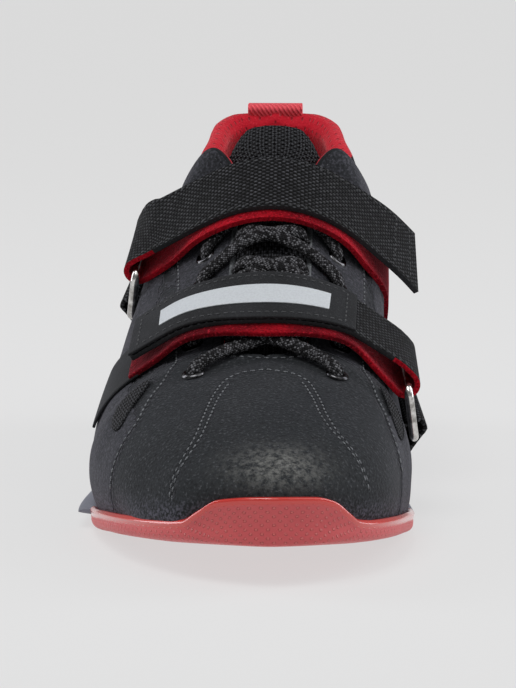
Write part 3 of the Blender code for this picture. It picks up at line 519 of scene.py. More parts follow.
def outward(place, across):
    """The skin's unit normals."""
    step, span = 0.006, 0.003
    a = over_foot(place, across + span) - over_foot(place, across - span)
    t = over_foot(place + step, across) - over_foot(place - step, across)
    return unit(np.cross(t, a))


def lifted(place, across, lift):
    place, across = np.asarray(place, float), np.asarray(across, float)
    return over_foot(place, across) + outward(place, across) * np.asarray(lift, float)[..., None]


def ridge_place(from_toe):
    """The place whose wall curve ends at this distance from the toe, in the throat."""
    low, high = 0.30, 0.99
    for _ in range(30):
        middle = (low + high) / 2
        ends = wall_row("top_at", middle)
        low, high = (middle, high) if ends < 1 - from_toe / sole_length else (low, middle)
    return (low + high) / 2


def throat_half(place):
    _, half = skin_table()
    return np.interp(place, np.linspace(0, 1, PLACE_STEPS + 1), half)


def curve_through(rows, count):
    """A smooth line through a few rows of numbers, sampled evenly by its own length."""
    rows = np.array(rows, float)
    scaled = rows.copy()
    scaled[:, 0] *= PLACE_LENGTH
    along = arc_of(scaled)
    at = np.linspace(0, along[-1], count)
    return np.column_stack([flowing(along, rows[:, k], at) for k in range(rows.shape[1])])


# Mesh and material helpers


def grid_into(body, positions, run=None, index=0):
    """Adds a grid of faces to the bmesh, with its corners moved to the positions."""
    columns, rows = positions.shape[0] - 1, positions.shape[1] - 1
    made = bmesh.ops.create_grid(body, x_segments=columns, y_segments=rows, size=0.5)["verts"]
    layer = body.verts.layers.float_vector.get("run")
    faces = set()
    for corner in made:
        i, j = round((corner.co.x + 0.5) * columns), round((corner.co.y + 0.5) * rows)
        corner.co = Vector(positions[i, j])
        if run is not None:
            corner[layer] = Vector(run[i, j])
        faces.update(corner.link_faces)
    for face in faces:
        face.material_index = index
    return made


def new_body():
    body = bmesh.new()
    body.verts.layers.float_vector.new("run")
    return body


def piece(name, body, finishes, weld=2e-6, angle=50, recalc=True, replaces=()):
    """The bmesh as a finished piece: doubles merged, smooth, riding the shoe's body."""
    if weld:
        bmesh.ops.remove_doubles(body, verts=body.verts, dist=weld)
        bmesh.ops.dissolve_degenerate(body, dist=weld, edges=body.edges)
    if recalc:
        bmesh.ops.recalc_face_normals(body, faces=body.faces)
    mesh = bpy.data.meshes.new(name)
    body.to_mesh(mesh)
    body.free()
    mesh.shade_smooth()
    mesh.set_sharp_from_angle(angle=math.radians(angle))
    made = bpy.data.objects.new(name, mesh)
    for finish in finishes:
        mesh.materials.append(finish)
    bpy.context.scene.collection.objects.link(made)
    if replaces:
        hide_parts(*replaces)
    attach(made, BODY)
    return made


def thicken(made, thickness, offset=0.0, back=0, edge=0, bevel=0.0):
    solid = made.modifiers.new("Thickness", "SOLIDIFY")
    solid.thickness = thickness
    solid.offset = offset
    solid.use_even_offset = True
    solid.material_offset = back
    solid.material_offset_rim = edge
    if bevel:
        soft = made.modifiers.new("Soft edges", "BEVEL")
        soft.width = bevel
        soft.segments = 2
        soft.limit_method = "ANGLE"
        soft.angle_limit = math.radians(55)
        soft.harden_normals = False
    return made


def put(tree, kind, inputs=(), **settings):
    """A shader node with its settings; an input is a value or another node's socket."""
    made = tree.nodes.new("ShaderNode" + kind)
    for name, value in settings.items():
        setattr(made, name, value)
    for socket, value in dict(inputs).items():
        if isinstance(value, bpy.types.NodeSocket):
            tree.links.new(value, made.inputs[socket])
        else:
            made.inputs[socket].default_value = value
    return made


def calc(tree, operation, first, second=0.0, third=0.0):
    inputs = {0: first, 1: second, 2: third}
    return put(tree, "Math", inputs, operation=operation).outputs[0]


def fade(tree, value, low, high, start=0.0, stop=1.0):
    inputs = {"Value": value, "From Min": low, "From Max": high, "To Min": start, "To Max": stop}
    return put(tree, "MapRange", inputs, interpolation_type="SMOOTHSTEP").outputs[0]


def tint(tree, share, first, second, blend="MIX"):
    first, second = (v if isinstance(v, bpy.types.NodeSocket) else (*v, 1.0) for v in (first, second))
    inputs = {0: share, 6: first, 7: second}
    return put(tree, "Mix", inputs, data_type="RGBA", blend_type=blend).outputs[2]


def noise(tree, vector, size, detail=3.0, rough=0.55):
    """Noise whose lumps are about this size, in metres."""
    inputs = {"Vector": vector, "Scale": 1 / size, "Detail": detail, "Roughness": rough}
    return put(tree, "TexNoise", inputs).outputs["Fac"]


def group_of(name, inputs, outputs, build):
    """A node group, built once, with float or vector sockets."""
    if name in bpy.data.node_groups:
        return bpy.data.node_groups[name]
    tree = bpy.data.node_groups.new(name, "ShaderNodeTree")
    for socket, value in inputs:
        kind = "NodeSocketVector" if value is None else "NodeSocketFloat"
        made = tree.interface.new_socket(name=socket, in_out="INPUT", socket_type=kind)
        if value is not None:
            made.default_value = value
    for socket in outputs:
        tree.interface.new_socket(name=socket, in_out="OUTPUT", socket_type="NodeSocketFloat")
    enter, leave = tree.nodes.new("NodeGroupInput"), tree.nodes.new("NodeGroupOutput")
    for socket, value in build(tree, enter.outputs).items():
        tree.links.new(value, leave.inputs[socket])
    return tree


def use(tree, group, **inputs):
    made = tree.nodes.new("ShaderNodeGroup")
    made.node_tree = group
    for name, value in inputs.items():
        socket = made.inputs[name.replace("_", " ")]
        if isinstance(value, bpy.types.NodeSocket):
            tree.links.new(value, socket)
        else:
            socket.default_value = value
    return made.outputs


def nap_group():
    def build(tree, given):
        at = put(tree, "VectorMath", {0: given["Vector"], "Scale": 1.0}, operation="SCALE")
        turned = calc(tree, "DIVIDE", 1.0, given["Size"])
        tree.links.new(turned, at.inputs["Scale"])
        fine = put(tree, "TexNoise", {"Vector": at.outputs[0], "Scale": 1.0, "Detail": 4.0})
        broad = put(tree, "TexNoise", {"Vector": at.outputs[0], "Scale": 0.03, "Detail": 3.0})
        specks = fade(tree, fine.outputs["Fac"], 0.56, 0.72)
        return {"Height": fine.outputs["Fac"], "Cloud": broad.outputs["Fac"], "Specks": specks}

    return group_of("Nap", (("Vector", None), ("Size", 0.0008)), ("Height", "Cloud", "Specks"), build)


def weave_group():
    def build(tree, given):
        parts = put(tree, "SeparateXYZ", {0: given["Vector"]}).outputs
        u = calc(tree, "DIVIDE", parts["X"], given["Along"])
        v = calc(tree, "DIVIDE", parts["Y"], given["Across"])
        cells = [calc(tree, "FLOOR", w) for w in (u, v)]
        odd = calc(tree, "PINGPONG", calc(tree, "ADD", *cells), 1.0)
        humps = [
            calc(tree, "ABSOLUTE", calc(tree, "SINE", calc(tree, "MULTIPLY", w, math.pi)))
            for w in (u, v)
        ]
        soft = [calc(tree, "POWER", h, 0.45) for h in humps]
        along = calc(tree, "MULTIPLY", soft[0], humps[1])
        across = calc(tree, "MULTIPLY", soft[1], humps[0])
        upper = calc(tree, "MULTIPLY", along, calc(tree, "SUBTRACT", 1.0, odd))
        height = calc(tree, "MULTIPLY_ADD", across, odd, upper)
        cell = put(tree, "CombineXYZ", {0: cells[0], 1: cells[1]}).outputs[0]
        tone = put(tree, "TexWhiteNoise", {"Vector": cell}).outputs["Value"]
        return {"Height": height, "Thread": odd, "Tone": tone}

    inputs = (("Vector", None), ("Along", 0.0006), ("Across", 0.0006))
    return group_of("Weave", inputs, ("Height", "Thread", "Tone"), build)


def holes_group():
    def build(tree, given):
        parts = put(tree, "SeparateXYZ", {0: given["Vector"]}).outputs
        turned = [calc(tree, kind, parts["X"], parts["Y"]) for kind in ("ADD", "SUBTRACT")]
        waves = []
        for way in turned:
            angle = calc(tree, "DIVIDE", calc(tree, "MULTIPLY", way, math.pi), given["Pitch"])
            waves.append(calc(tree, "POWER", calc(tree, "SINE", angle), 2.0))
        inside = calc(tree, "MULTIPLY", *waves)
        hole = fade(tree, inside, given["Edge"], calc(tree, "ADD", given["Edge"], 0.18))
        return {"Hole": hole, "Height": calc(tree, "SUBTRACT", 1.0, inside)}

    inputs = (("Vector", None), ("Pitch", 0.0014), ("Edge", 0.35))
    return group_of("Open mesh", inputs, ("Hole", "Height"), build)


def dots_group():
    def build(tree, given):
        grids = []
        for shift in (0.0, 0.5):
            at = put(
                tree, "VectorMath",
                {0: given["Vector"], 1: (shift, shift, 0.0)}, operation="ADD",
            )
            scaled = put(tree, "VectorMath", {0: given["Vector"]}, operation="SCALE")
            tree.links.new(calc(tree, "DIVIDE", 1.0, given["Pitch"]), scaled.inputs["Scale"])
            tree.links.new(scaled.outputs[0], at.inputs[0])
            cell = put(tree, "VectorMath", {0: at.outputs[0]}, operation="FRACTION").outputs[0]
            from_middle = put(
                tree, "VectorMath", {0: cell, 1: (0.5, 0.5, 0.0)}, operation="SUBTRACT"
            ).outputs[0]
            flat = put(
                tree, "VectorMath", {0: from_middle, 1: (1.0, 1.0, 0.0)}, operation="MULTIPLY"
            ).outputs[0]
            grids.append(put(tree, "VectorMath", {0: flat}, operation="LENGTH").outputs["Value"])
        near = calc(tree, "MINIMUM", *grids)
        return {"Dot": fade(tree, near, given["Radius"], calc(tree, "MULTIPLY", given["Radius"], 0.4))}

    inputs = (("Vector", None), ("Pitch", 0.004), ("Radius", 0.2))
    return group_of("Dots", inputs, ("Dot",), build)


def seam_group():
    def build(tree, given):
        away = calc(tree, "ABSOLUTE", given["Distance"])
        return {"Line": fade(tree, away, given["Width"], 0.0)}

    return group_of("Seam line", (("Distance", 1.0), ("Width", 0.0008)), ("Line",), build)


def material(name, roughness, metallic=0.0, **constants):
    """A material with its constant values set on the shader, its tree and its shader node."""
    made = bpy.data.materials.new(name)
    made.use_nodes = True
    tree = made.node_tree
    shader = tree.nodes["Principled BSDF"]
    shader.inputs["Roughness"].default_value = roughness
    shader.inputs["Metallic"].default_value = metallic
    for key, value in constants.items():
        shader.inputs[key.replace("_", " ")].default_value = value
    return made, tree, shader


def wire(tree, shader, colour=None, roughness=None, height=None, depth=0.0003, strength=1.0):
    """Links a finish to its shader: colour, roughness and a bump of this depth in metres."""
    if colour is not None:
        tree.links.new(colour, shader.inputs["Base Color"])
    if roughness is not None:
        tree.links.new(roughness, shader.inputs["Roughness"])
    if height is not None:
        bump = put(tree, "Bump", {"Height": height, "Distance": depth, "Strength": strength})
        tree.links.new(bump.outputs[0], shader.inputs["Normal"])


def attribute(tree, name):
    return put(tree, "Attribute", attribute_name=name).outputs


def object_place(tree):
    return put(tree, "TexCoord").outputs["Object"]


@lru_cache(maxsize=1)
def nubuck():
    """Napped charcoal leather: seam grooves with painted shade along them, a painted highlight on the toe,
    lighter nap on the side panels that is partly their fuzzier nap and partly painted sheen, fuzzy nap above
    the sole, and painted shadow along the side panels' edges."""
    made, tree, shader = material(
        "charcoal_nubuck", 0.82, Sheen_Weight=0.16, Sheen_Roughness=0.30,
        Sheen_Tint=(0.66, 0.64, 0.74, 1.0), Specular_IOR_Level=0.22,
    )
    at = object_place(tree)
    nap = use(tree, nap_group(), Vector=at, Size=0.0009)
    base = tint(tree, fade(tree, nap["Cloud"], 0.35, 0.70, 0.0, 0.7), colours().nubuck, srgb(41, 43, 45))
    base = tint(tree, fade(tree, nap["Height"], 0.50, 0.30, 0.0, 0.8), base, srgb(17, 18, 20))
    base = tint(tree, calc(tree, "MULTIPLY", nap["Specks"], 0.50), base, srgb(92, 94, 98))
    # Side panels: lighter purple-grey nap, partly their own fuzzier nap and partly painted sheen where light
    # grazes the flanks.
    side = attribute(tree, "side_panel")["Fac"]
    fuzz_and_sheen = calc(tree, "MULTIPLY", side, fade(tree, nap["Height"], 0.45, 0.65, 0.12, 0.60))
    base = tint(tree, fuzz_and_sheen, base, srgb(76, 75, 84))
    hem = fade(tree, attribute(tree, "from_foot")["Fac"], 0.009, 0.0, 0.0, 0.8)
    hem = calc(tree, "MULTIPLY", hem, fade(tree, nap["Height"], 0.42, 0.62))
    base = tint(tree, hem, base, srgb(86, 84, 96))
    # Painted highlight on the toe, broken up by noise.
    toe_highlight = attribute(tree, "toe_highlight")["Fac"]
    lit = fade(tree, noise(tree, at, 0.0022, 5.0, 0.75), 0.36, 0.66)
    lit = calc(tree, "MULTIPLY", calc(tree, "MULTIPLY", toe_highlight, lit), 0.70)
    base = tint(tree, lit, base, colours().toe_highlight)
    # Painted shade along the seam grooves: the nap is darkened where the bump sinks the seams.
    lines = None
    for name in ("toe_seam", "toe_seam_inner", "quarter_seam", "throat_seam", "counter_seam"):
        line = use(tree, seam_group(), Distance=attribute(tree, name)["Fac"], Width=0.0010)["Line"]
        lines = line if lines is None else calc(tree, "MAXIMUM", lines, line)
    base = tint(tree, calc(tree, "MULTIPLY", lines, 0.35), base, srgb(18, 19, 21))
    # Painted shadow along the side panels' raised edge, which the bump also sinks.
    edge = use(tree, seam_group(), Distance=attribute(tree, "panel_edge")["Fac"], Width=0.0006)["Line"]
    base = tint(tree, calc(tree, "MULTIPLY", edge, 0.7), base, srgb(12, 12, 14))
    height = calc(tree, "MULTIPLY_ADD", lines, -1.2, nap["Height"])
    height = calc(tree, "MULTIPLY_ADD", edge, -1.5, height)
    wire(tree, shader, base, fade(tree, nap["Cloud"], 0.3, 0.7, 0.74, 0.90), height, 0.00028)
    return made


@lru_cache(maxsize=1)
def plain_nubuck():
    """Smoother black leather: the wing, the patch, the vents' borders and the straps' edges."""
    made, tree, shader = material(
        "black_nubuck", 0.80, Sheen_Weight=0.10, Sheen_Roughness=0.35,
        Sheen_Tint=(0.60, 0.62, 0.68, 1.0), Specular_IOR_Level=0.28,
    )
    nap = use(tree, nap_group(), Vector=object_place(tree), Size=0.0006)
    base = tint(tree, fade(tree, nap["Cloud"], 0.35, 0.70), srgb(24, 25, 27), srgb(34, 35, 38))
    base = tint(tree, calc(tree, "MULTIPLY", nap["Specks"], 0.4), base, srgb(78, 80, 83))
    wire(tree, shader, base, None, nap["Height"], 0.00022)
    return made


@lru_cache(maxsize=1)
def lining():
    """Fuzzy red collar lining with fine perforations: leather where the attribute rim is low,
    and dark mesh deep inside."""
    made, tree, shader = material(
        "red_lining", 0.88, Sheen_Roughness=0.4,
        Sheen_Tint=(1.0, 0.45, 0.45, 1.0), Specular_IOR_Level=0.2,
    )
    run = attribute(tree, "run")["Vector"]
    nap = use(tree, nap_group(), Vector=object_place(tree), Size=0.0009)
    dots = use(tree, dots_group(), Vector=run, Pitch=0.0050, Radius=0.13)["Dot"]
    base = tint(tree, nap["Cloud"], colours().lining, srgb(178, 14, 34))
    base = tint(tree, calc(tree, "MULTIPLY", nap["Specks"], 0.45), base, srgb(236, 70, 84))
    base = tint(tree, calc(tree, "MULTIPLY", dots, 0.6), base, srgb(110, 6, 20))
    depth = put(tree, "SeparateXYZ", {0: run}).outputs["Y"]
    mesh = use(tree, holes_group(), Vector=run, Pitch=0.0020, Edge=0.40)
    low = fade(tree, depth, 0.040, 0.0415)
    dark = tint(tree, mesh["Hole"], srgb(34, 34, 36), srgb(10, 10, 11))
    base = tint(tree, low, base, dark)
    cloth = fade(tree, attribute(tree, "rim")["Fac"], -0.10, 0.02)
    base = tint(tree, cloth, colours().nubuck, base)
    tree.links.new(calc(tree, "MULTIPLY", cloth, 0.5), shader.inputs["Sheen Weight"])
    height = calc(tree, "MULTIPLY_ADD", dots, -1.0, nap["Height"])
    wire(tree, shader, base, None, height, 0.0004)
    return made


@lru_cache(maxsize=1)
def cut_edge():
    made, tree, shader = material("cut_leather_edge", 0.8, Specular_IOR_Level=0.3)
    fibre = noise(tree, object_place(tree), 0.0006, 4.0, 0.7)
    base = tint(tree, fade(tree, fibre, 0.3, 0.7), srgb(74, 77, 80), srgb(122, 125, 128))
    wire(tree, shader, base, None, fibre, 0.0002)
    return made


@lru_cache(maxsize=1)
def webbing():
    """The straps' black woven face."""
    made, tree, shader = material("black_webbing", 0.60, Specular_IOR_Level=0.14)
    run = attribute(tree, "run")["Vector"]
    weave = use(tree, weave_group(), Vector=run, Along=0.0013, Across=0.0009)
    base = tint(tree, fade(tree, weave["Height"], 0.15, 0.95), srgb(1, 1, 1), colours().webbing)
    glint = calc(tree, "MULTIPLY", weave["Height"], weave["Thread"])
    glint = calc(tree, "MULTIPLY", glint, fade(tree, weave["Tone"], 0.0, 1.0, 0.35, 1.0))
    base = tint(tree, glint, base, srgb(84, 85, 89))
    wire(tree, shader, base, None, weave["Height"], 0.00045)
    return made


@lru_cache(maxsize=1)
def velvet():
    """The straps' red fastening face: a deep brushed pile."""
    made, tree, shader = material(
        "red_velvet", 0.95, Sheen_Weight=0.45, Sheen_Roughness=0.35,
        Sheen_Tint=(1.0, 0.22, 0.28, 1.0), Specular_IOR_Level=0.1,
    )
    nap = use(tree, nap_group(), Vector=object_place(tree), Size=0.0008)
    base = tint(tree, fade(tree, nap["Cloud"], 0.35, 0.65), srgb(92, 4, 16), colours().velvet)
    base = tint(tree, fade(tree, nap["Height"], 0.50, 0.32, 0.0, 0.7), base, srgb(70, 2, 10))
    base = tint(tree, calc(tree, "MULTIPLY", nap["Specks"], 0.6), base, srgb(220, 46, 64))
    wire(tree, shader, base, None, nap["Height"], 0.0006)
    return made


@lru_cache(maxsize=1)
def lace_cord():
    """Braided black cord with grey flecks; run is along the cord and round it."""
    made, tree, shader = material("flecked_cord", 0.80, Sheen_Weight=0.0, Specular_IOR_Level=0.2)
    run = attribute(tree, "run")["Vector"]
    weave = use(tree, weave_group(), Vector=run, Along=0.0011, Across=0.0011)
    flecks = fade(tree, weave["Tone"], 0.30, 0.80)
    base = tint(tree, fade(tree, weave["Height"], 0.1, 0.9), srgb(2, 2, 3), srgb(19, 19, 21))
    base = tint(tree, calc(tree, "MULTIPLY", flecks, weave["Height"]), base, srgb(122, 122, 126))
    wire(tree, shader, base, None, weave["Height"], 0.0005)
    return made


@lru_cache(maxsize=1)
def outsole_rubber():
    """Red rubber: a glossy lip, raised dots on the toe and a fine grid along the sides."""
    made, tree, shader = material(
        "red_rubber", 0.42, Coat_Weight=0.0, Coat_Roughness=0.12, Specular_IOR_Level=0.5,
        Subsurface_Weight=0.0,
    )
    run = attribute(tree, "run")["Vector"]
    below = put(tree, "SeparateXYZ", {0: run}).outputs["Y"]
    toe = attribute(tree, "bumper")["Fac"]
    lip = fade(tree, below, 0.0036, 0.0027)
    dots = use(tree, dots_group(), Vector=run, Pitch=0.0028, Radius=0.19)["Dot"]
    grid = use(tree, holes_group(), Vector=run, Pitch=0.0022, Edge=0.30)
    dots = calc(tree, "MULTIPLY", dots, toe)
    rough = calc(tree, "SUBTRACT", 1.0, grid["Height"])
    rough = calc(tree, "MULTIPLY", rough, calc(tree, "SUBTRACT", 1.0, toe))
    pattern = calc(tree, "MULTIPLY", calc(tree, "ADD", dots, rough), calc(tree, "SUBTRACT", 1.0, lip))
    cloud = noise(tree, object_place(tree), 0.02, 3.0)
    base = tint(tree, fade(tree, cloud, 0.3, 0.7), colours().rubber, srgb(196, 76, 80))
    base = tint(tree, calc(tree, "MULTIPLY", pattern, 0.40), base, srgb(232, 126, 118))
    base = tint(tree, lip, base, colours().lip)
    gloss = calc(tree, "MULTIPLY", lip, 0.9)
    tree.links.new(gloss, shader.inputs["Coat Weight"])
    wire(tree, shader, base, fade(tree, lip, 0.0, 1.0, 0.46, 0.24), pattern, 0.0004)
    return made


@lru_cache(maxsize=1)
def wedge():
    made, tree, shader = material(
        "grey_wedge", 0.38, Specular_IOR_Level=0.5, Coat_Weight=0.15, Coat_Roughness=0.3
    )
    at = object_place(tree)
    grain = noise(tree, at, 0.0009, 3.0)
    cloud = noise(tree, at, 0.03, 3.0)
    base = tint(tree, fade(tree, cloud, 0.3, 0.7), colours().wedge, srgb(118, 120, 131))
    wire(tree, shader, base, fade(tree, cloud, 0.3, 0.7, 0.34, 0.46), grain, 0.00012)
    return made


@lru_cache(maxsize=1)
def black_mesh():
    """Knitted spacer mesh with open holes, for the tongue and the vents."""
    made, tree, shader = material("black_mesh", 0.75, Sheen_Weight=0.0, Specular_IOR_Level=0.2)
    run = attribute(tree, "run")["Vector"]
    mesh = use(tree, holes_group(), Vector=run, Pitch=0.0026, Edge=0.32)
    knit = use(tree, weave_group(), Vector=run, Along=0.0010, Across=0.0010)
    # The raised knit is painted lighter than its dark valleys: painted highlights on the knit's tops.
    base = tint(tree, fade(tree, knit["Height"], 0.2, 1.0), srgb(9, 9, 10), srgb(78, 79, 83))
    base = tint(tree, mesh["Hole"], base, srgb(1, 1, 2))
    height = calc(tree, "MULTIPLY_ADD", knit["Height"], 0.25, mesh["Height"])
    wire(tree, shader, base, None, height, 0.0009)
    return made


@lru_cache(maxsize=1)
def foot_bed():
    made, tree, shader = material("black_foot_bed", 0.85, Sheen_Weight=0.3, Specular_IOR_Level=0.25)
    at = object_place(tree)
    mesh = use(tree, holes_group(), Vector=at, Pitch=0.0030, Edge=0.45)
    base = tint(tree, mesh["Hole"], srgb(38, 38, 40), srgb(14, 14, 15))
    wire(tree, shader, base, None, mesh["Height"], 0.0004)
    return made


@lru_cache(maxsize=1)
def ribbed_loop():
    """Light red webbing with slanted ribs."""
    made, tree, shader = material(
        "light_red_webbing", 0.7, Sheen_Weight=0.3, Sheen_Tint=(1.0, 0.5, 0.5, 1.0)
    )
    run = attribute(tree, "run")["Vector"]
    parts = put(tree, "SeparateXYZ", {0: run}).outputs
    slant = calc(tree, "MULTIPLY_ADD", parts["X"], 0.8, parts["Y"])
    rib = calc(tree, "SINE", calc(tree, "MULTIPLY", slant, 2 * math.pi / 0.0016))
    rib = calc(tree, "MULTIPLY_ADD", rib, 0.5, 0.5)
    grain = noise(tree, run, 0.0004, 2.0)
    base = tint(tree, rib, srgb(226, 52, 68), colours().loop)
    base = tint(tree, fade(tree, grain, 0.5, 0.8, 0.0, 0.4), base, srgb(250, 110, 118))
    wire(tree, shader, base, None, calc(tree, "MULTIPLY_ADD", grain, 0.3, rib), 0.0005)
    return made


@lru_cache(maxsize=4)
def metal(name, dark):
    """Polished steel, or the eyelets' black nickel, both mottled by wear."""
    made, tree, shader = material(name, 0.14, 1.0)
    at = object_place(tree)
    wear = noise(tree, at, 0.0030, 4.0, 0.6)
    bright, dull = colours().metal, srgb(150, 147, 143)
    if dark:
        bright, dull = srgb(96, 96, 98), srgb(44, 44, 47)
    base = tint(tree, fade(tree, wear, 0.35, 0.65), dull, bright)
    wire(tree, shader, base, fade(tree, wear, 0.3, 0.7, 0.10, 0.26), wear, 0.00002)
    return made


@lru_cache(maxsize=2)
def thread(dark=False):
    """Grey sewing thread; on the straps it is darker."""
    made, tree, shader = material("dark_thread" if dark else "grey_thread", 0.6, Sheen_Weight=0.2)
    twist = noise(tree, object_place(tree), 0.0006, 2.0)
    low, high = ([(0.35 if dark else 1.0) * v for v in c] for c in (srgb(64, 67, 71), colours().thread))
    base = tint(tree, fade(tree, twist, 0.3, 0.7), low, high)
    wire(tree, shader, base, None, twist, 0.0001)
    return made


@lru_cache(maxsize=1)
def pale_strip():
    made, tree, shader = material("pale_strip", 0.4, Specular_IOR_Level=0.45)
    at = object_place(tree)
    grain = noise(tree, at, 0.0007, 3.0)
    base = tint(tree, fade(tree, grain, 0.35, 0.75, 0.0, 0.4), colours().strip, srgb(176, 180, 184))
    wire(tree, shader, base, None, grain, 0.00008)
    return made


# The upper


def seam_lines():
    """Every line of stitches on the upper as (place, across) points, with its sewing facts."""
    toe = curve_through(TOE_SEAM, 320)
    places = toe[:, 0]
    inner = toe.copy()
    inner[:, 1] *= 1 - 0.0026 / np.maximum(np.abs(toe[:, 1]), 0.010)
    inner[:, 0] = places + 0.0032
    parted = np.abs(toe[:, 1]) > 0.0150
    lines = {"toe_seam": [toe], "toe_seam_inner": [inner[:160][parted[:160]], inner[160:][parted[160:]]]}
    lines["quarter_seam"] = [curve_through(QUARTER_SEAMS[s], 260) for s in (LATERAL, MEDIAL)]
    front = ridge_place(0.094)
    edge = np.linspace(0.47, front, 120)
    rows = [np.column_stack([edge, s * (throat_half(edge) + 0.0030)]) for s in (LATERAL, MEDIAL)]
    reach = float(throat_half(front)) + 0.0030
    bow = [(front, -reach), *THROAT_BOW, (front, reach)]
    lines["throat_seam"] = rows + [curve_through(bow, 90)]
    counter = [curve_through([(p, s * a) for p, a in COUNTER_SEAM], 120) for s in (LATERAL, MEDIAL)]
    lines["counter_seam"] = [c[np.abs(c[:, 1]) > throat_half(c[:, 0]) + 0.004] for c in counter]
    return lines


def distance_to(points, lines):
    """How far each point is from the nearest of some lines over the skin."""
    found = np.full(len(points), 1.0)
    for line in lines:
        course = over_foot(line[:, 0], line[:, 1])
        for start in range(0, len(points), 4000):
            part = points[start:start + 4000]
            away = np.linalg.norm(part[:, None, :] - course[None, :, :], axis=2).min(1)
            found[start:start + 4000] = np.minimum(found[start:start + 4000], away)
    return found


def side_of(place, across, line):
    """Which side of a line over the skin: positive toward the heel and the sole."""
    order = np.argsort(np.abs(line[:, 1]))
    reach = np.abs(line[order, 1])
    edge = np.interp(np.abs(across), reach, line[order, 0])
    return edge - place


def crease(place, across):
    """The soft troughs: how far the wall is pressed in."""
    found = np.zeros(np.shape(place))
    for middle, start, stop, lean, width, depth in CREASES:
        share = np.clip((across - start) / (stop - start), 0, 1)
        centre = middle + lean * (share - 0.5) + 0.006 * np.sin(9 * share + middle * 40)
        away = (place - centre) * PLACE_LENGTH
        ends = smooth(across, start - 0.006, start + 0.012) * smooth(-across, -stop - 0.006, -stop + 0.012)
        ridges = np.exp(-(((np.abs(away) - 1.9 * width) / width) ** 2))
        trough = np.exp(-((away / width) ** 2)) - 0.45 * ridges
        found += depth * ends * trough
    return found


# The length that the upper's cloth counts from heel to toe, along each side.
RUN_LENGTH = 0.33
SPAN = 240
OUTER_ROWS = 64
INNER_ROWS = 22
ROLL_ROWS = 8
ROLL_RUN = 0.010


def wall_grid(rows):
    """The places, sides, shares, points and distances from the middle line of a wall grid."""
    i = np.arange(2 * SPAN + 1)
    place = np.where(i <= SPAN, i, 2 * SPAN - i) / SPAN
    side = np.where(i <= SPAN, LATERAL, MEDIAL)
    controls = wall_controls(place, side)
    shares = np.linspace(0, 1, rows + 1)
    points = np.stack([bezier(controls, np.full(len(place), s)) for s in shares], axis=1)
    steps = np.linalg.norm(np.diff(points, axis=1), axis=2)
    from_top = np.concatenate([np.cumsum(steps[:, ::-1], axis=1)[:, ::-1], np.zeros((len(place), 1))], axis=1)
    across = side[:, None] * (throat_half(place)[:, None] + from_top)
    return place, side, shares, points, from_top, across


def padding_at(place, share):
    knots, values = (np.array(v, float) for v in zip(*PADDING_TABLE))
    near = flowing(knots, values, place)[:, None] * np.maximum(0, (share[None, :] - 0.45) / 0.55)
    return wall + (collar_padding - wall) * near


def overhung(points, place, side, shares):
    """Lets the leather hang over the sole's rim at the outer side of the toe."""
    amount = smooth(place, 0.79, 0.86) * (1 - smooth(place, 0.905, 0.930)) * (side == LATERAL)
    _, out = outline(place, side)
    out = np.column_stack([out, np.zeros(len(out))])
    row = int(np.searchsorted(shares, 0.14))
    hem = points[:, row] + out * 0.0009
    hem[:, 2] = points[:, 0, 2] - 0.0027
    for j in range(row):
        share = 1 - j / row
        skirt = points[:, row] * (1 - share) + hem * share + out * 0.0010 * math.sin(math.pi * share)
        points[:, j] += (skirt - points[:, j]) * amount[:, None]
    return points


def upper_shells():
    """The outer shell and the inner shell of the upper, as grids, with their tops drawn down where the rolled
    rim will join them.
    """
    quarter = {s: curve_through(QUARTER_SEAMS[s], 260) for s in (LATERAL, MEDIAL)}
    shells = {}
    for kind, rows in (("outer", OUTER_ROWS), ("inner", INNER_ROWS)):
        place, side, shares, points, from_top, across = wall_grid(rows)
        places = np.repeat(place[:, None], rows + 1, axis=1)
        normal = outward(places, across)
        normal[0] = normal[-1] = unit(normal[2] * np.array([0.0, 1.0, 1.0]))
        press = -crease(places, across)
        panel = np.zeros(places.shape)
        for s in (LATERAL, MEDIAL):
            mine = (side == s)[:, None] & np.ones_like(places, bool)
            behind = side_of(places, across, quarter[s])
            low = np.abs(across) > np.abs(quarter[s][0, 1])
            panel = np.where(mine, smooth(behind, -0.004, 0.004) * (low | (behind > 0)), panel)
        if kind == "outer":
            press = press + sizes().panel_step * panel
        tangent = unit(points[:, -1] - points[:, -2])
        thick = padding_at(place, shares)
        sunk = 0.5 * 0.62 * thick[:, -1]
        near_top = smooth(shares, 0.86, 1.0)[None, :, None]
        opened = smooth(wall_row("opening", place), 0.0, 0.08)
        points = points + normal * press[..., None]
        points = points - tangent[:, None, :] * (sunk * opened)[:, None, None] * near_top
        if kind == "inner":
            points = points - normal * thick[..., None]
        else:
            points = overhung(points, place, side, shares)
        points[-1] = points[0]
        round_foot = np.repeat(place[:, None] * RUN_LENGTH * side[:, None], rows + 1, axis=1)
        run = np.stack([round_foot, from_top, panel], axis=-1)
        shells[kind] = (points, run, places, across, normal, tangent, thick, opened)
    return shells


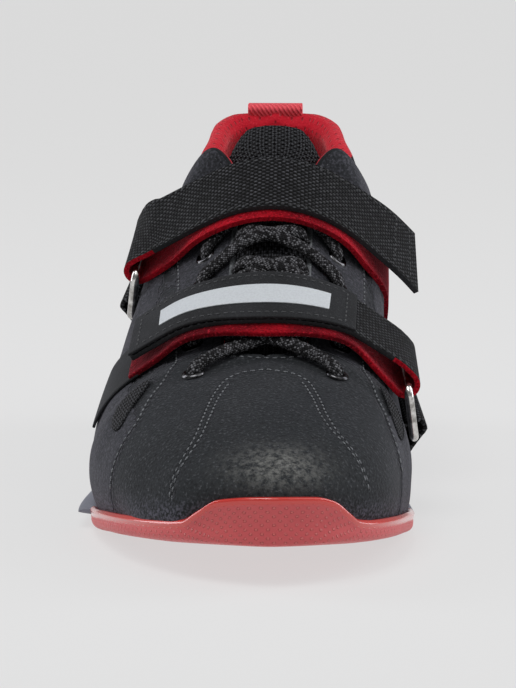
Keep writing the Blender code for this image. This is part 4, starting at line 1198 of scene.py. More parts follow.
def make_upper():
    shells = upper_shells()
    outer, outer_run, places = shells["outer"][:3]
    opened = shells["outer"][7]
    inner, inner_run = shells["inner"][:2]
    start, stop = outer[:, -1], inner[:, -1]
    middle = (start + stop) / 2
    half = (start - stop) / 2
    height = np.linalg.norm(half, axis=1, keepdims=True)
    turns = np.linspace(0, math.pi, ROLL_ROWS + 1)
    rise = unit(shells["outer"][5])
    heel = (1 - smooth(places[:, 0], 0.10, 0.26))[:, None]
    tall = height * (0.62 + 0.72 * heel)
    flat = np.array([1.0, 1.0, 0.0])
    outside = unit((middle - np.array([0.0, heel_seat - 0.055, 0.0])) * flat) * 0.0021 * heel
    rise[0] = rise[-1] = unit((rise[1] + rise[-2]) * np.array([0.0, 1.0, 1.0]))
    roll = np.stack([
        middle + half * math.cos(t) + rise * tall * math.sin(t) + outside * math.sin(t) ** 0.7 * (t < 3.1)
        for t in turns
    ], axis=1)
    roll_run = np.stack([outer_run[:, -1]] * len(turns), axis=1)
    roll_run[..., 1] = np.linspace(-ROLL_RUN, 0.0, len(turns))[None, :]
    open_columns = np.flatnonzero(opened > 0.02)
    lateral_end = open_columns[open_columns <= SPAN].max()
    medial_start = open_columns[open_columns >= SPAN].min()
    body = new_body()
    grid_into(body, outer, outer_run, 0)
    grid_into(body, inner[::-1], inner_run[::-1], 1)
    for first, last in ((0, lateral_end), (medial_start, 2 * SPAN)):
        rolled = list(range(first, last + 1))
        grid_into(body, roll[rolled], roll_run[rolled], 1)
    grid_into(body, np.stack([outer[:, 0], inner[:, 0]], axis=1), None, 0)
    made = piece(
        "upper_shell", body, (nubuck(), lining(), cut_edge()),
        weld=4e-6, recalc=False, replaces=("upper",),
    )
    mesh = made.data
    points = np.zeros(len(mesh.vertices) * 3)
    mesh.vertices.foreach_get("co", points)
    points = points.reshape(-1, 3)
    for name, lines in seam_lines().items():
        store(mesh, name, distance_to(points, lines))
    # Mask of the painted highlight on the toe.
    stretched = (points - np.array(TOE_HIGHLIGHT_AT)) / np.array(TOE_HIGHLIGHT_REACH)
    store(mesh, "toe_highlight", np.exp(-(stretched**2).sum(1)))
    run = np.zeros(len(mesh.vertices) * 3)
    mesh.attributes["run"].data.foreach_get("vector", run)
    panel = run.reshape(-1, 3)[:, 2]
    store(mesh, "side_panel", panel)
    store(mesh, "from_foot", points[:, 2] - sole_top(points[:, 1]))
    store(mesh, "panel_edge", (panel - 0.5) * 0.003)
    finish_roll(made)
    return made


def finish_roll(made):
    """Marks how far the leather reaches on the rolled rim, with the attribute rim: over its top
    at the sides and less far at the heel. In the throat the rim is cut leather."""
    mesh = made.data
    low, high = (heel_seat - share * sole_length for share in THROAT_RIM)
    run = np.zeros(len(mesh.vertices) * 3)
    mesh.attributes["run"].data.foreach_get("vector", run)
    run = run.reshape(-1, 3)
    share, place = np.minimum(run[:, 1] / ROLL_RUN + 1, 2), np.abs(run[:, 0]) / RUN_LENGTH
    share[[v for face in mesh.polygons if face.material_index == 0 for v in face.vertices]] = 0.0
    store(mesh, "rim", share - 0.42 * smooth(place, 0.185, 0.235))
    for face in mesh.polygons:
        if face.material_index == 1 and high < face.center.y < low:
            if min(share[v] for v in face.vertices) < 1:
                face.material_index = 2


def store(mesh, name, values):
    layer = mesh.attributes.new(name, "FLOAT", "POINT")
    layer.data.foreach_set("value", np.asarray(values, np.float32))


def stitches_into(body, points, normals, length=None, pitch=None, radius=None, sink=0.0):
    """Lays stitches along a line: small rounded lengths of thread, half sunk in the surface."""
    length = length or sizes().stitch_length
    pitch = pitch or sizes().stitch_pitch
    radius = radius or sizes().stitch_radius
    along = arc_of(points)
    count = int((along[-1] - length) / pitch)
    middles = length / 2 + pitch * np.arange(count + 1)
    for middle in middles:
        ends = [
            np.array([np.interp(middle + d, along, points[:, k]) for k in range(3)])
            for d in (-length / 2, length / 2)
        ]
        normal = unit(np.array([np.interp(middle, along, normals[:, k]) for k in range(3)]))
        forward = unit(ends[1] - ends[0])
        across = unit(np.cross(normal, forward))
        normal = np.cross(forward, across)
        centre = (ends[0] + ends[1]) / 2 + normal * (radius * 0.35 - sink)
        turn = Matrix(np.column_stack([forward, across, normal]).tolist()).to_4x4()
        scale = Matrix.Diagonal((length / 2, radius, radius, 1.0))
        bmesh.ops.create_icosphere(
            body, subdivisions=1, radius=1.0, matrix=Matrix.Translation(centre) @ turn @ scale
        )


def make_seams():
    """The stitches of the upper's seams, as one joined mesh."""
    body = bmesh.new()
    for name, lines in seam_lines().items():
        for line in lines:
            lift = 0.0001 + (sizes().panel_step * 0.9 if name == "quarter_seam" else 0.0)
            lift = lift - crease(line[:, 0], line[:, 1])
            points = lifted(line[:, 0], line[:, 1], lift)
            stitches_into(body, points, outward(line[:, 0], line[:, 1]))
    return piece("upper_seams", body, (thread(),), weld=0, angle=80)


def make_vents():
    """The mesh windows in the side panels, with their rolled edges."""
    for side, name in ((LATERAL, "lateral"), (MEDIAL, "medial")):
        tip, foot, width = VENTS[side]
        rows, columns = 22, 8
        share = np.linspace(0, 1, rows + 1)
        breadth = width * np.sqrt(np.clip(share, 0, 1)) * np.sqrt(np.clip(1.06 - share**6, 0, 1))
        centre = np.array(tip) + (np.array(foot) - np.array(tip)) * share[:, None]
        sideways = np.linspace(-0.5, 0.5, columns + 1)
        places = centre[None, :, 0] + sideways[:, None] * breadth[None, :] / PLACE_LENGTH
        across = np.repeat(centre[None, :, 1], columns + 1, axis=0)
        bulge = 1 - (2 * sideways[:, None]) ** 4
        lift = sizes().panel_step + 0.00025 + 0.0002 * bulge * np.ones_like(places)
        points = lifted(places, across, lift)
        run = np.stack([
            sideways[:, None] * breadth[None, :],
            np.repeat(share[None, :], columns + 1, 0) * 0.020,
            places * 0,
        ], axis=-1)
        body = new_body()
        grid_into(body, points, run)
        patch = piece(f"vent_mesh_{name}", body, (black_mesh(),), recalc=False)
        thicken(patch, 0.0004, offset=-1.0)
        body = bmesh.new()
        border = np.concatenate([points[0], points[-1][::-1]])
        normals = np.concatenate([outward(places[0], across[0]), outward(places[-1], across[-1])[::-1]])
        stitches_into(body, border, normals, 0.0011, 0.0012, 0.00035)
        piece(f"vent_edge_{name}", body, (plain_nubuck(),), weld=0, angle=80)


# Sole


def ring_point(place, side, inset, height):
    edge, out = outline(place, side)
    plan = edge - out * np.asarray(inset, float).reshape(-1, 1)
    return np.column_stack([plan, height(plan[:, 1])])


def bumper(place, side):
    knots = column(BUMPER_TABLE, BUMPER_COLUMNS, "place")
    lateral, medial = (
        flowing(knots, column(BUMPER_TABLE, BUMPER_COLUMNS, name), place, flat_ends=True)
        for name in ("lateral", "medial")
    )
    return np.where(side == LATERAL, lateral, medial)


def at_level(place, side, level):
    """The point of each wall curve at a height."""
    controls = wall_controls(place, side)
    shares = np.linspace(0, 1, 26)
    found = np.zeros((len(place), 3))
    for n, points in enumerate(controls):
        curve = bezier(points, shares)
        found[n] = [np.interp(level[n], curve[:, 2], curve[:, k]) for k in range(3)]
    return found


def outsole_rings(place, side):
    """Rings round the outsole from its flat bottom, up its side, over the lip and down inside."""
    front = place > CUP + 0.002
    share = bumper(place, side)
    _, out = outline(place, side)
    out = np.column_stack([out, np.zeros(len(out))])
    low = [
        ring_point(place, side, np.full(len(place), inset), lambda y, r=rise: ground(y) + r)
        for inset, rise in ((0.0070, 0.0), (0.0022, 0.35 * edge_bevel), (0.0003, edge_bevel))
    ]
    waist = ring_point(place, side, 0 * place, lambda y: sole_top(y) - 0.0018)
    waist[:, 2] += 0.30 * bumper_height * share
    plain_waist = ring_point(place, side, 0 * place + 0.0002, lambda y: ground(y) + outsole_plate - 0.0006)
    waist = np.where(front[:, None], waist, plain_waist)
    foot = wall_controls(place, side)[:, 0, 2]
    inside = at_level(place, side, foot + bumper_height * share) + out * clearance * 2
    halfway = at_level(place, side, foot + 0.5 * bumper_height * share) + out * clearance * 2
    outer = inside + out * (rim - clearance + (bumper_thickness - rim) * share)[:, None]
    outer[:, 2] -= 0.0008
    top = (inside + outer) / 2 + np.array([0, 0, 0.0006])
    plain_outer = ring_point(place, side, 0 * place + 0.0006, lambda y: ground(y) + outsole_plate)
    plain_inner = ring_point(place, side, 0 * place + rim - clearance, lambda y: ground(y) + outsole_plate)
    plain_top = (plain_outer + plain_inner) / 2
    pick = front[:, None]
    outer, top = np.where(pick, outer, plain_outer), np.where(pick, top, plain_top)
    inside, halfway = np.where(pick, inside, plain_inner), np.where(pick, halfway, plain_inner)
    floor = ring_point(place, side, 0 * place + rim - clearance, lambda y: sole_top(y) + clearance)
    floor = np.where(pick, floor, plain_inner)
    plate = plain_inner
    return low + [waist, outer, top, inside], [halfway, floor, plate]


def woven(rings, steps):
    """Rings with smooth ones between them, along curves through each column."""
    rings = np.array(rings)
    padded = np.concatenate([[2 * rings[0] - rings[1]], rings, [2 * rings[-1] - rings[-2]]])
    found = []
    for k in range(len(rings) - 1):
        p0, p1, p2, p3 = padded[k:k + 4]
        for s in np.linspace(0, 1, steps, endpoint=False):
            found.append(
                0.5 * (2 * p1 + (p2 - p0) * s + (2 * p0 - 5 * p1 + 4 * p2 - p3) * s * s
                       + (3 * p1 - p0 - 3 * p2 + p3) * s**3)
            )
    return np.array(found + [rings[-1]])


def round_the_sole(columns):
    """Places and sides of columns that go once round the outline, thick at the cup's front."""
    even = np.linspace(0, 1, columns + 1)
    extra = [CUP - 0.006, CUP - 0.0015, CUP + 0.0021, CUP + 0.0045]
    half = np.array(sorted([*even, *extra]))
    place = np.concatenate([half, half[-2::-1]])
    side = np.where(np.arange(len(place)) < len(half), LATERAL, MEDIAL)
    return place, side


def flat_between(body, ring, index=0, rows=14, run_y=0.05):
    """Closes a ring by a flat grid from side to side."""
    count = (len(ring) - 1) // 2
    left, right = ring[:count + 1], ring[count:][::-1]
    share = np.linspace(0, 1, rows + 1)
    positions = left[:, None, :] * (1 - share)[None, :, None] + right[:, None, :] * share[None, :, None]
    run = np.stack([positions[..., 0], np.full(positions.shape[:2], run_y), positions[..., 1]], axis=-1)
    grid_into(body, positions, run, index)


def make_outsole():
    place, side = round_the_sole(230)
    outer_rings, inner_rings = outsole_rings(place, side)
    outer = woven(outer_rings, 6)
    rings = np.concatenate([outer, np.array(inner_rings)])
    steps = np.linalg.norm(np.diff(rings, axis=0), axis=2)
    lip_row = 6 * (len(outer_rings) - 2)
    from_lip = np.zeros(rings.shape[:2])
    for k in range(len(rings)):
        low, high = min(k, lip_row), max(k, lip_row)
        from_lip[k] = steps[low:high].sum(0)
    around = arc_of(rings[2])
    around = around - around[len(around) // 2]
    run = np.stack([np.repeat(around[None, :], len(rings), 0), from_lip, from_lip * 0], axis=-1)
    front = np.where(place > CUP + 0.002, 0.0, 0.02)
    run[..., 1] += front[None, :]
    body = new_body()
    grid_into(body, np.swapaxes(rings, 0, 1), np.swapaxes(run, 0, 1))
    flat_between(body, rings[0])
    flat_between(body, rings[-1])
    made = piece("outsole_rubber", body, (outsole_rubber(),), replaces=("outsole",))
    points = np.zeros(len(made.data.vertices) * 3)
    made.data.vertices.foreach_get("co", points)
    toe = smooth(-points.reshape(-1, 3)[:, 1], 0.190, 0.225)
    store(made.data, "bumper", toe)
    cut_tread(made)
    return made


def cut_tread(made):
    """Cuts the tread's cross grooves into the outsole's bottom."""
    body = bmesh.new()
    for zone, count in TREAD_ZONES:
        for k in range(count):
            bar = bmesh.ops.create_cube(body, size=1.0)["verts"]
            size = Matrix.Diagonal((ball_width * 1.4, groove_width, 2 * groove_depth, 1.0))
            bmesh.ops.transform(body, matrix=size, verts=bar)
            y = zone - k * groove_pitch
            bmesh.ops.translate(body, vec=Vector((0, y, float(ground(y)))), verts=bar)
    mesh = bpy.data.meshes.new("tread_grooves")
    body.to_mesh(mesh)
    body.free()
    cutter = bpy.data.objects.new("tread_grooves", mesh)
    bpy.context.scene.collection.objects.link(cutter)
    change = made.modifiers.new("Tread", "BOOLEAN")
    change.operation = "DIFFERENCE"
    change.solver = "EXACT"
    change.object = cutter
    apply_modifiers(made)
    bpy.data.objects.remove(cutter)


def apply_modifiers(made):
    """Replaces the piece's mesh by what its modifiers make of it."""
    bpy.context.view_layer.update()
    graph = bpy.context.evaluated_depsgraph_get()
    mesh = bpy.data.meshes.new_from_object(
        made.evaluated_get(graph), preserve_all_data_layers=True, depsgraph=graph
    )
    made.modifiers.clear()
    made.data = mesh


def make_midsole():
    place, side = round_the_sole(200)
    front = (place > CUP - 0.004).astype(float)
    near_ball = np.exp(-(((place - CUP) / 0.12) ** 2))
    flare = midsole_flare * (0.35 + np.where(side == LATERAL, 0.65, -0.15) * near_ball)

    def low(y):
        return ground(y) + outsole_plate + clearance

    def ring(bare, share):
        inset = (1 - front) * bare + front * rim
        return ring_point(place, side, inset, lambda y: low(y) + share * (sole_top(y) - low(y)))

    rings = woven(
        [
            ring(0.0008 + 0 * place, 0.0), ring(-flare, 0.34), ring(0.0004 - 0.8 * flare, 0.66),
            ring(0.0020 - 0.3 * flare, 1.0),
        ], 7,
    )
    body = new_body()
    run = np.zeros((rings.shape[1], rings.shape[0], 3))
    grid_into(body, np.swapaxes(rings, 0, 1), run)
    flat_between(body, rings[0])
    flat_between(body, rings[-1])
    return piece("midsole_wedge", body, (wedge(),), replaces=("midsole",))


def make_insole():
    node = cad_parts["insole"]
    node.data.materials.clear()
    node.data.materials.append(foot_bed())


# Tongue, laces and eyelets


def make_tongue():
    """The padded tongue: crowned, with a rolled edge, of spacer mesh."""
    under = -(wall + tongue_gap + tongue_thickness / 2)
    start, last = ridge_place(tongue_root_from_toe), ridge_place(tongue_bend_from_toe)
    rows_under, rows_above, columns = 70, 26, 36
    low, high = over_foot(last + 0.02, 0.0), over_foot(last, 0.0)
    up = unit(unit(high - low) + np.array([0.0, -0.10, 0.25]))
    sideways = np.linspace(-1, 1, columns + 1)
    middle, run, half_thick = [], [], []
    for j in range(rows_under + rows_above + 1):
        if j <= rows_under:
            share = j / rows_under
            place = start + (last - start) * share
            narrow = 0.74 + 0.26 * min(1.0, share * rows_under / 28)
            across = tongue_half_width * narrow * sideways
            points = lifted(np.full(len(sideways), place), across, np.full(len(sideways), under))
            ends = smooth(share, -0.03, 0.05)
        else:
            share = (j - rows_under) / rows_above
            narrow = math.sqrt(max(0.0, 1 - (share * 0.90) ** 2)) * (1 - 0.30 * smooth(share, 0.0, 0.5))
            across = tongue_half_width * narrow * sideways
            points = lifted(np.full(len(sideways), last), across, np.full(len(sideways), under))
            points = points + up * tongue_tip_rise * share
            points[:, 0] += (points[:, 0] - high[0]) * tongue_spread * smooth(share, 0.2, 0.6)
            ends = 1.0
        middle.append(points)
        run.append(np.column_stack([across, np.full(len(sideways), j * 0.0013), 0 * across]))
        soft = np.sqrt(np.clip(1 - np.abs(sideways) ** 5, 0.0, 1)) * ends
        if j > rows_under:
            soft = soft * math.sqrt(max(0.02, 1 - ((j - rows_under) / rows_above) ** 5))
        half_thick.append(soft * tongue_thickness / 2)
    middle, run, half_thick = np.array(middle), np.array(run), np.array(half_thick)
    along = np.gradient(middle, axis=0)
    beside = np.gradient(middle, axis=1)
    normal = unit(np.cross(beside, along))
    ribs = 0.00025 * np.sin(run[..., 1] / 0.0030 * 2 * math.pi)
    front = middle + normal * (half_thick + ribs)[..., None]
    back = middle - normal * half_thick[..., None]
    body = new_body()
    grid_into(body, front, run)
    grid_into(body, back[::-1], run[::-1])
    for a, b in (
        (front[:, 0], back[:, 0]), (front[:, -1], back[:, -1]), (front[0], back[0]), (front[-1], back[-1]),
    ):
        grid_into(body, np.stack([a, b], axis=1), None)
    made = piece("tongue_pad", body, (black_mesh(),), weld=1e-5, angle=80, replaces=("tongue",))
    return made


@lru_cache(maxsize=1)
def eyelet_places():
    found = []
    second = throat_half(ridge_place(first_eyelet_from_toe + eyelet_pitch))
    for k in range(eyelet_pairs):
        place = ridge_place(first_eyelet_from_toe + k * eyelet_pitch)
        edge = max(float(throat_half(place)), float(second))
        for side in (LATERAL, MEDIAL):
            found.append((place, side * (edge + eyelet_from_edge), side))
    return found


def facing(point, out):
    turn = Vector(out).to_track_quat("Z", "Y").to_matrix().to_4x4()
    return Matrix.Translation(Vector(point)) @ turn


def make_eyelets():
    """Each eyelet is turned: a rolled flange on the leather and a barrel through it."""
    profile = (
        (0.0014, -wall), (0.0021, -wall), (0.0021, 0.0003), (0.0038, 0.0004), (0.0037, 0.0007),
        (0.0031, 0.0012), (0.0024, 0.0012), (0.0018, 0.0008), (0.0014, 0.0001),
    )
    for number, (place, across, side) in enumerate(eyelet_places()):
        body = bmesh.new()
        corners = [body.verts.new((r, 0, z)) for r, z in profile]
        edges = [body.edges.new((a, b)) for a, b in zip(corners, corners[1:] + corners[:1])]
        bmesh.ops.spin(
            body, geom=corners + edges, axis=(0, 0, 1), cent=(0, 0, 0),
            angle=2 * math.pi, steps=32, use_merge=True,
        )
        point = over_foot(place, across)
        body.transform(facing(point, outward(place, across)))
        name = f"{'lateral' if side == LATERAL else 'medial'}_{number // 2 + 1}"
        finish = metal("black_nickel", True)
        piece(f"eyelet_ring_{name}", body, (finish,), replaces=(f"eyelet_{name}",))


def lace_route(pair, side):
    """A lace from inside its eyelet, over the middle, and down under the throat's far edge:
    rows of place, across-value and lift."""
    place, start, _ = eyelet_places()[2 * pair + (0 if side == LATERAL else 1)]
    far = ridge_place(first_eyelet_from_toe + (pair + 0.9) * eyelet_pitch)
    end = float(throat_half(far)) - 0.0022
    rise = 0.0006 if (pair % 2 == 0) == (side == MEDIAL) else -0.0006
    begin = abs(start)
    rows = [
        (place, side * (begin + 0.0012), -0.0062),
        (place, side * (begin + 0.0004), -0.0026),
        (place - 0.001, side * (begin - 0.0004), 0.0012),
    ]
    for q in np.linspace(0.10, 0.90, 9):
        across = side * (begin - (begin + end) * q)
        over = math.exp(-(((q - 0.5) / 0.16) ** 2))
        rows.append((place + (far - place) * q, across, lace_radius + 0.0006 + over * rise))
    rows.append((far, -side * (end - 0.0002), lace_radius - 0.0016))
    rows.append((far - 0.004, -side * (end + 0.0030), -0.0062))
    return rows


def braided_tube(body, rows, width, height):
    """A flat braided cord along rows of place, across and lift."""
    rows = np.array(rows, float)
    coarse = lifted(rows[:, 0], rows[:, 1], rows[:, 2])
    along = arc_of(coarse)
    count = int(along[-1] / 0.0004)
    at = np.linspace(0, along[-1], count + 1)
    course = flow_rows(along, rows, at)
    points = lifted(course[:, 0], course[:, 1], course[:, 2])
    points = np.column_stack([
        np.convolve(np.pad(points[:, k], 4, "edge"), np.ones(9) / 9, "valid") for k in range(3)
    ])
    forward = unit(np.gradient(points, axis=0))
    normal = outward(course[:, 0], course[:, 1])
    across = unit(np.cross(normal, forward))
    normal = np.cross(forward, across)
    angle = np.linspace(0, 2 * math.pi, 25)
    strands = np.sin(6 * angle[:, None] + at[None, :] / 0.0026 * 2 * math.pi)
    other = np.sin(6 * angle[:, None] - at[None, :] / 0.0026 * 2 * math.pi)
    grow = 1 + 0.055 * np.maximum(strands, other)
    ends = np.sqrt(np.clip(1 - (np.abs(at / along[-1] * 2 - 1)) ** 60, 0, 1))
    sideways = across[None] * (np.cos(angle) * width / 2)[:, None, None]
    upward = normal[None] * (np.sin(angle) * height / 2)[:, None, None]
    positions = points[None] + grow[..., None] * ends[None, :, None] * (sideways + upward)
    round_it = angle[:, None] / (2 * math.pi) * 0.0128 + 0 * at[None, :]
    run = np.stack([at[None, :] + round_it, at[None, :] - round_it, 0 * round_it], axis=-1)
    grid_into(body, positions, run)


def make_laces():
    """Each crossing of the lace: two braided cords that run out of the eyelets and under the
    far edge of the throat."""
    for pair in range(eyelet_pairs - 1):
        body = new_body()
        for side in (LATERAL, MEDIAL):
            braided_tube(body, lace_route(pair, side), sizes().lace_width, sizes().lace_height)
        name = f"lace_crossing_{pair + 1}"
        piece(f"{name}_braid", body, (lace_cord(),), weld=1e-6, angle=80, replaces=(name,))


# Straps


def strap_fact(number, name):
    value = STRAP_TABLE[number][STRAP_COLUMNS.index(name)]
    return value * STRAP_SHARES_OF[name] if name in STRAP_SHARES_OF else value


BAND_SIDEWAYS = np.arange(-0.022, 0.0221, 0.002)
BAND_ALONG = np.arange(-0.112, 0.1121, 0.001)


@lru_cache(maxsize=2)
def band_table(number):
    """Places and across-values of a strap's lines over the skin, by distance beside its middle
    and along it. Each line lies in a plane square to the strap's slope."""
    slope = math.radians(strap_fact(number, "slope"))
    direction = np.array([0.0, math.cos(slope), math.sin(slope)])
    middle = ridge_place(strap_fact(number, "from_toe"))
    level = over_foot(middle, 0.0) @ direction + BAND_SIDEWAYS
    halves = []
    for side in (LATERAL, MEDIAL):
        place, travelled, before = np.full(len(level), middle), np.zeros(len(level)), None
        rows = []
        for step in range(40):
            across = np.full(len(level), side * step * 0.003)
            for _ in range(6):
                error = over_foot(place, across) @ direction - level
                slide = (over_foot(place + 0.003, across) - over_foot(place, across)) / 0.003
                place = np.clip(place - error / np.minimum(slide @ direction, -0.05), 0.02, 0.98)
            point = over_foot(place, across)
            travelled = travelled + (0 if before is None else np.linalg.norm(point - before, axis=1))
            before = point
            rows.append(np.column_stack([side * travelled, place, across]))
        halves.append(np.array(rows))
    lines = np.concatenate([halves[0][:0:-1], halves[1]])
    found = np.zeros((len(BAND_SIDEWAYS), len(BAND_ALONG), 2))
    for k in range(len(BAND_SIDEWAYS)):
        for c in (1, 2):
            found[k, :, c - 1] = np.interp(BAND_ALONG, lines[:, k, 0], lines[:, k, c])
    return found


def band_place(number, along, sideways):
    """The place and across-value at distances along a strap and beside its middle."""
    table = band_table(number)
    along, sideways = np.broadcast_arrays(np.asarray(along, float), np.asarray(sideways, float))
    s = np.clip((sideways - BAND_SIDEWAYS[0]) / 0.002, 0, len(BAND_SIDEWAYS) - 1.001)
    a = np.clip((along - BAND_ALONG[0]) / 0.001, 0, len(BAND_ALONG) - 1.001)
    i, j = s.astype(int), a.astype(int)
    s, a = (s - i)[..., None], (a - j)[..., None]
    low = table[i, j] * (1 - a) + table[i, j + 1] * a
    high = table[i + 1, j] * (1 - a) + table[i + 1, j + 1] * a
    found = low * (1 - s) + high * s
    return found[..., 0], found[..., 1]


def on_band(number, along, sideways, lift):
    place, across = band_place(number, along, sideways)
    return lifted(place, across, np.broadcast_to(lift, place.shape))


def ribbon_points(number, path, columns):
    """A grid of points of a strap over the skin, from rows of (along, lift, slip, width)."""
    path = np.array(path, float)
    along, lift, slip, width = (path[None, :, k] for k in range(4))
    share = np.linspace(0, 1, columns + 1)[:, None]
    near = on_band(number, along + 0 * share, slip + width * (share - 0.5), lift + 0 * share)
    first = on_band(number, along, slip - width / 2, lift)
    last = on_band(number, along, slip + width / 2, lift)
    straight = np.clip((lift - 0.0025) / 0.003, 0, 1)[..., None]
    points = near + (first + (last - first) * share[..., None] - near) * straight
    return points


def finer(path, steps):
    """A path's rows with even ones between them."""
    path = np.array(path, float)
    at = np.linspace(0, len(path) - 1, (len(path) - 1) * steps + 1)
    knots = np.arange(len(path), dtype=float)
    return np.column_stack([flowing(knots, path[:, k], at) for k in range(path.shape[1])])


def fold(along, lift, radius, toward, steps=9):
    turns = [math.pi * k / (steps - 1) for k in range(steps)]
    return [(along + toward * radius * math.sin(t), lift - radius * math.cos(t)) for t in turns]


def base_lift(along):
    share = min(1.0, max(0.0, (0.038 - abs(along)) / 0.014))
    return over_skin + (over_laces - over_skin) * share * share * (3 - 2 * share)


def bar_lift(number):
    return base_lift(strap_fact(number, "ring_at")) + fold_radius


def strap_path(number):
    side, ring_at = strap_fact(number, "ring_side"), strap_fact(number, "ring_at")
    anchor, width = strap_fact(number, "anchor_at"), strap_fact(number, "width")
    wing = width * strap_fact(number, "anchor_width")
    path = []
    for along in np.linspace(-anchor, -0.62 * anchor, 8):
        share = (along + anchor) / (0.38 * anchor)
        lift = over_skin - 0.0006 * (1 - share)
        path.append((side * along, lift, -strap_slip, wing + (width - wing) * share))
    for along in np.linspace(-0.62 * anchor, ring_at - 0.006, 30)[1:]:
        lower = 0.0014 * smooth(ring_at - along, 0.008, 0.030) * smooth(along, -0.62 * anchor, -0.3 * anchor)
        path.append((side * along, base_lift(along), -strap_slip - lower, width))
    turn = fold(ring_at, bar_lift(number), fold_radius, 1)
    for k, (along, lift) in enumerate(turn):
        slip = strap_slip * (2 * k / (len(turn) - 1) - 1)
        path.append((side * along, lift, slip, width))
    return path, return_path(number)


def return_path(number):
    """From the ring back over the strap to its free end."""
    side, ring_at = strap_fact(number, "ring_side"), strap_fact(number, "ring_at")
    end = strap_fact(number, "end_at")
    second = strap_thickness + strap_gap
    path = []
    for along in np.linspace(ring_at - 0.007, -end, 34):
        settled = base_lift(along) + second
        loose = max(0.0, 1 - (ring_at - along) / 0.024)
        lift = settled + (bar_lift(number) + fold_radius - settled) * loose * loose * (3 - 2 * loose)
        tail = max(0.0, (0.024 - along - end) / 0.024)
        lift += strap_fact(number, "end_lift") * tail * tail
        path.append((side * along, lift, strap_slip, strap_fact(number, "width")))
    return path


def tight(points, number):
    """A grid of points over the shoe without its sags, as a band drawn tight runs. Each line is
    judged square to the strap's slope."""
    slope, side = math.radians(strap_fact(number, "slope")), strap_fact(number, "ring_side")
    square = np.array([0.0, -math.sin(slope), math.cos(slope)])
    for line in points:
        flat = np.column_stack([-side * line[:, 0], line @ square])
        kept = []
        for j in range(len(line)):
            while len(kept) > 1:
                (a, b), (c, d) = flat[kept[-1]] - flat[kept[-2]], flat[j] - flat[kept[-1]]
                if a * d - b * c < 0:
                    break
                kept.pop()
            kept.append(j)
        along = arc_of(line)
        line[:] = np.column_stack([np.interp(along, along[kept], line[kept, k]) for k in range(3)])
    return points


def band_run(points):
    """Distances along and across a grid of points, for its weave."""
    along = arc_of(points.mean(0))
    width = np.linalg.norm(points[-1] - points[0], axis=-1)
    share = np.linspace(-0.5, 0.5, points.shape[0])
    return np.stack([
        np.repeat(along[None, :], points.shape[0], 0),
        share[:, None] * width[None, :],
        np.zeros(points.shape[:2]),
    ], axis=-1)


def facing_up(points):
    """The unit normals of a grid of points, turned to the side that mostly looks up."""
    normal = unit(np.cross(np.gradient(points, axis=1), np.gradient(points, axis=0)))
    return normal * (1 if normal[..., 2].mean() > 0 else -1)


def eased(points, turn, reach=7, near=34):
    """The band with its small bends evened out, except near its turn round the ring."""
    weight = np.exp(-0.5 * (np.arange(-2 * reach, 2 * reach + 1) / (0.62 * reach)) ** 2)
    weight /= weight.sum()
    padded = np.pad(points, ((0, 0), (2 * reach, 2 * reach), (0, 0)), mode="reflect", reflect_type="odd")
    even = sum(w * padded[:, k:k + points.shape[1]] for k, w in enumerate(weight))
    away = np.abs(np.arange(points.shape[1]) - turn)
    share = smooth(away, near * 0.5, near)[None, :, None]
    return points + (even - points) * share


def make_wing(slip):
    """The upper's leather wing, on which the vamp strap starts."""
    side, anchor = strap_fact(1, "ring_side"), strap_fact(1, "anchor_at")
    width = strap_fact(1, "width")
    broad = width * strap_fact(1, "anchor_width")
    rows = []
    for along in np.linspace(-anchor - 0.003, -wing_from + 0.004, 20):
        share = (along + anchor + 0.003) / (anchor + 0.007 - wing_from)
        lift = wing_thickness / 2 + 0.0002 + sizes().panel_step
        rows.append((side * along, lift, slip, broad + (width + 0.0010 - broad) * share))
    points = ribbon_points(1, finer(rows, 2), 18)
    body = new_body()
    grid_into(body, points, band_run(points))
    made = piece("vamp_strap_wing", body, (plain_nubuck(),), recalc=False, angle=70)
    thicken(made, wing_thickness, bevel=0.0004)


def make_straps():
    """Each strap is one band: webbing on its outer face and velvet on its inner one, with edges
    of velvet up to its turn round the ring and of leather after it. The vamp strap is sewn on a
    wing of the upper's leather."""
    cloth = (webbing(), velvet(), velvet(), webbing(), velvet(), plain_nubuck())
    for number in range(len(STRAP_TABLE)):
        name, side = strap_fact(number, "name"), strap_fact(number, "ring_side")
        first, back = strap_path(number)
        path = finer(first + back, 3)
        turn = len(first) * 3
        points = ribbon_points(number, path, 18)
        points[:, turn - 1:] = tight(points[:, turn - 1:], number)
        points = eased(points, turn)
        if number == 1:
            start = int(np.argmax(side * path[:60, 0] > -wing_from))
            points, turn = points[:, start:], turn - start
            make_wing(path[start, 2])
        if side == LATERAL:
            points = points[::-1]
        run = band_run(points)
        body = new_body()
        grid_into(body, points, run)
        layer = body.verts.layers.float_vector["run"]
        for face in body.faces:
            face.material_index = 3 if face.verts[0][layer].x > run[9, turn, 0] else 0
        made = piece(f"{name}_band", body, cloth, recalc=False, angle=70, replaces=(name,))
        thicken(made, strap_thickness, 0.0, back=1, edge=2, bevel=0.0004)
        sewn = bmesh.new()
        up = facing_up(points[:, -len(back) * 3:])
        top = points[:, -len(back) * 3:] + up * (strap_thickness / 2)
        for line, normal in (
            (top[1], up[1]), (top[-2], up[-2]),
            (top[1:-1, -4], up[1:-1, -4]), (top[1:-1, -10], up[1:-1, -10]),
        ):
            stitches_into(sewn, line, normal, 0.0016, 0.0026, 0.00022)
        piece(f"{name}_stitches", sewn, (thread(True),), weld=0, angle=80)


def tab_lift():
    return clearance + tab_thickness + clearance + ring_wire + ring_play


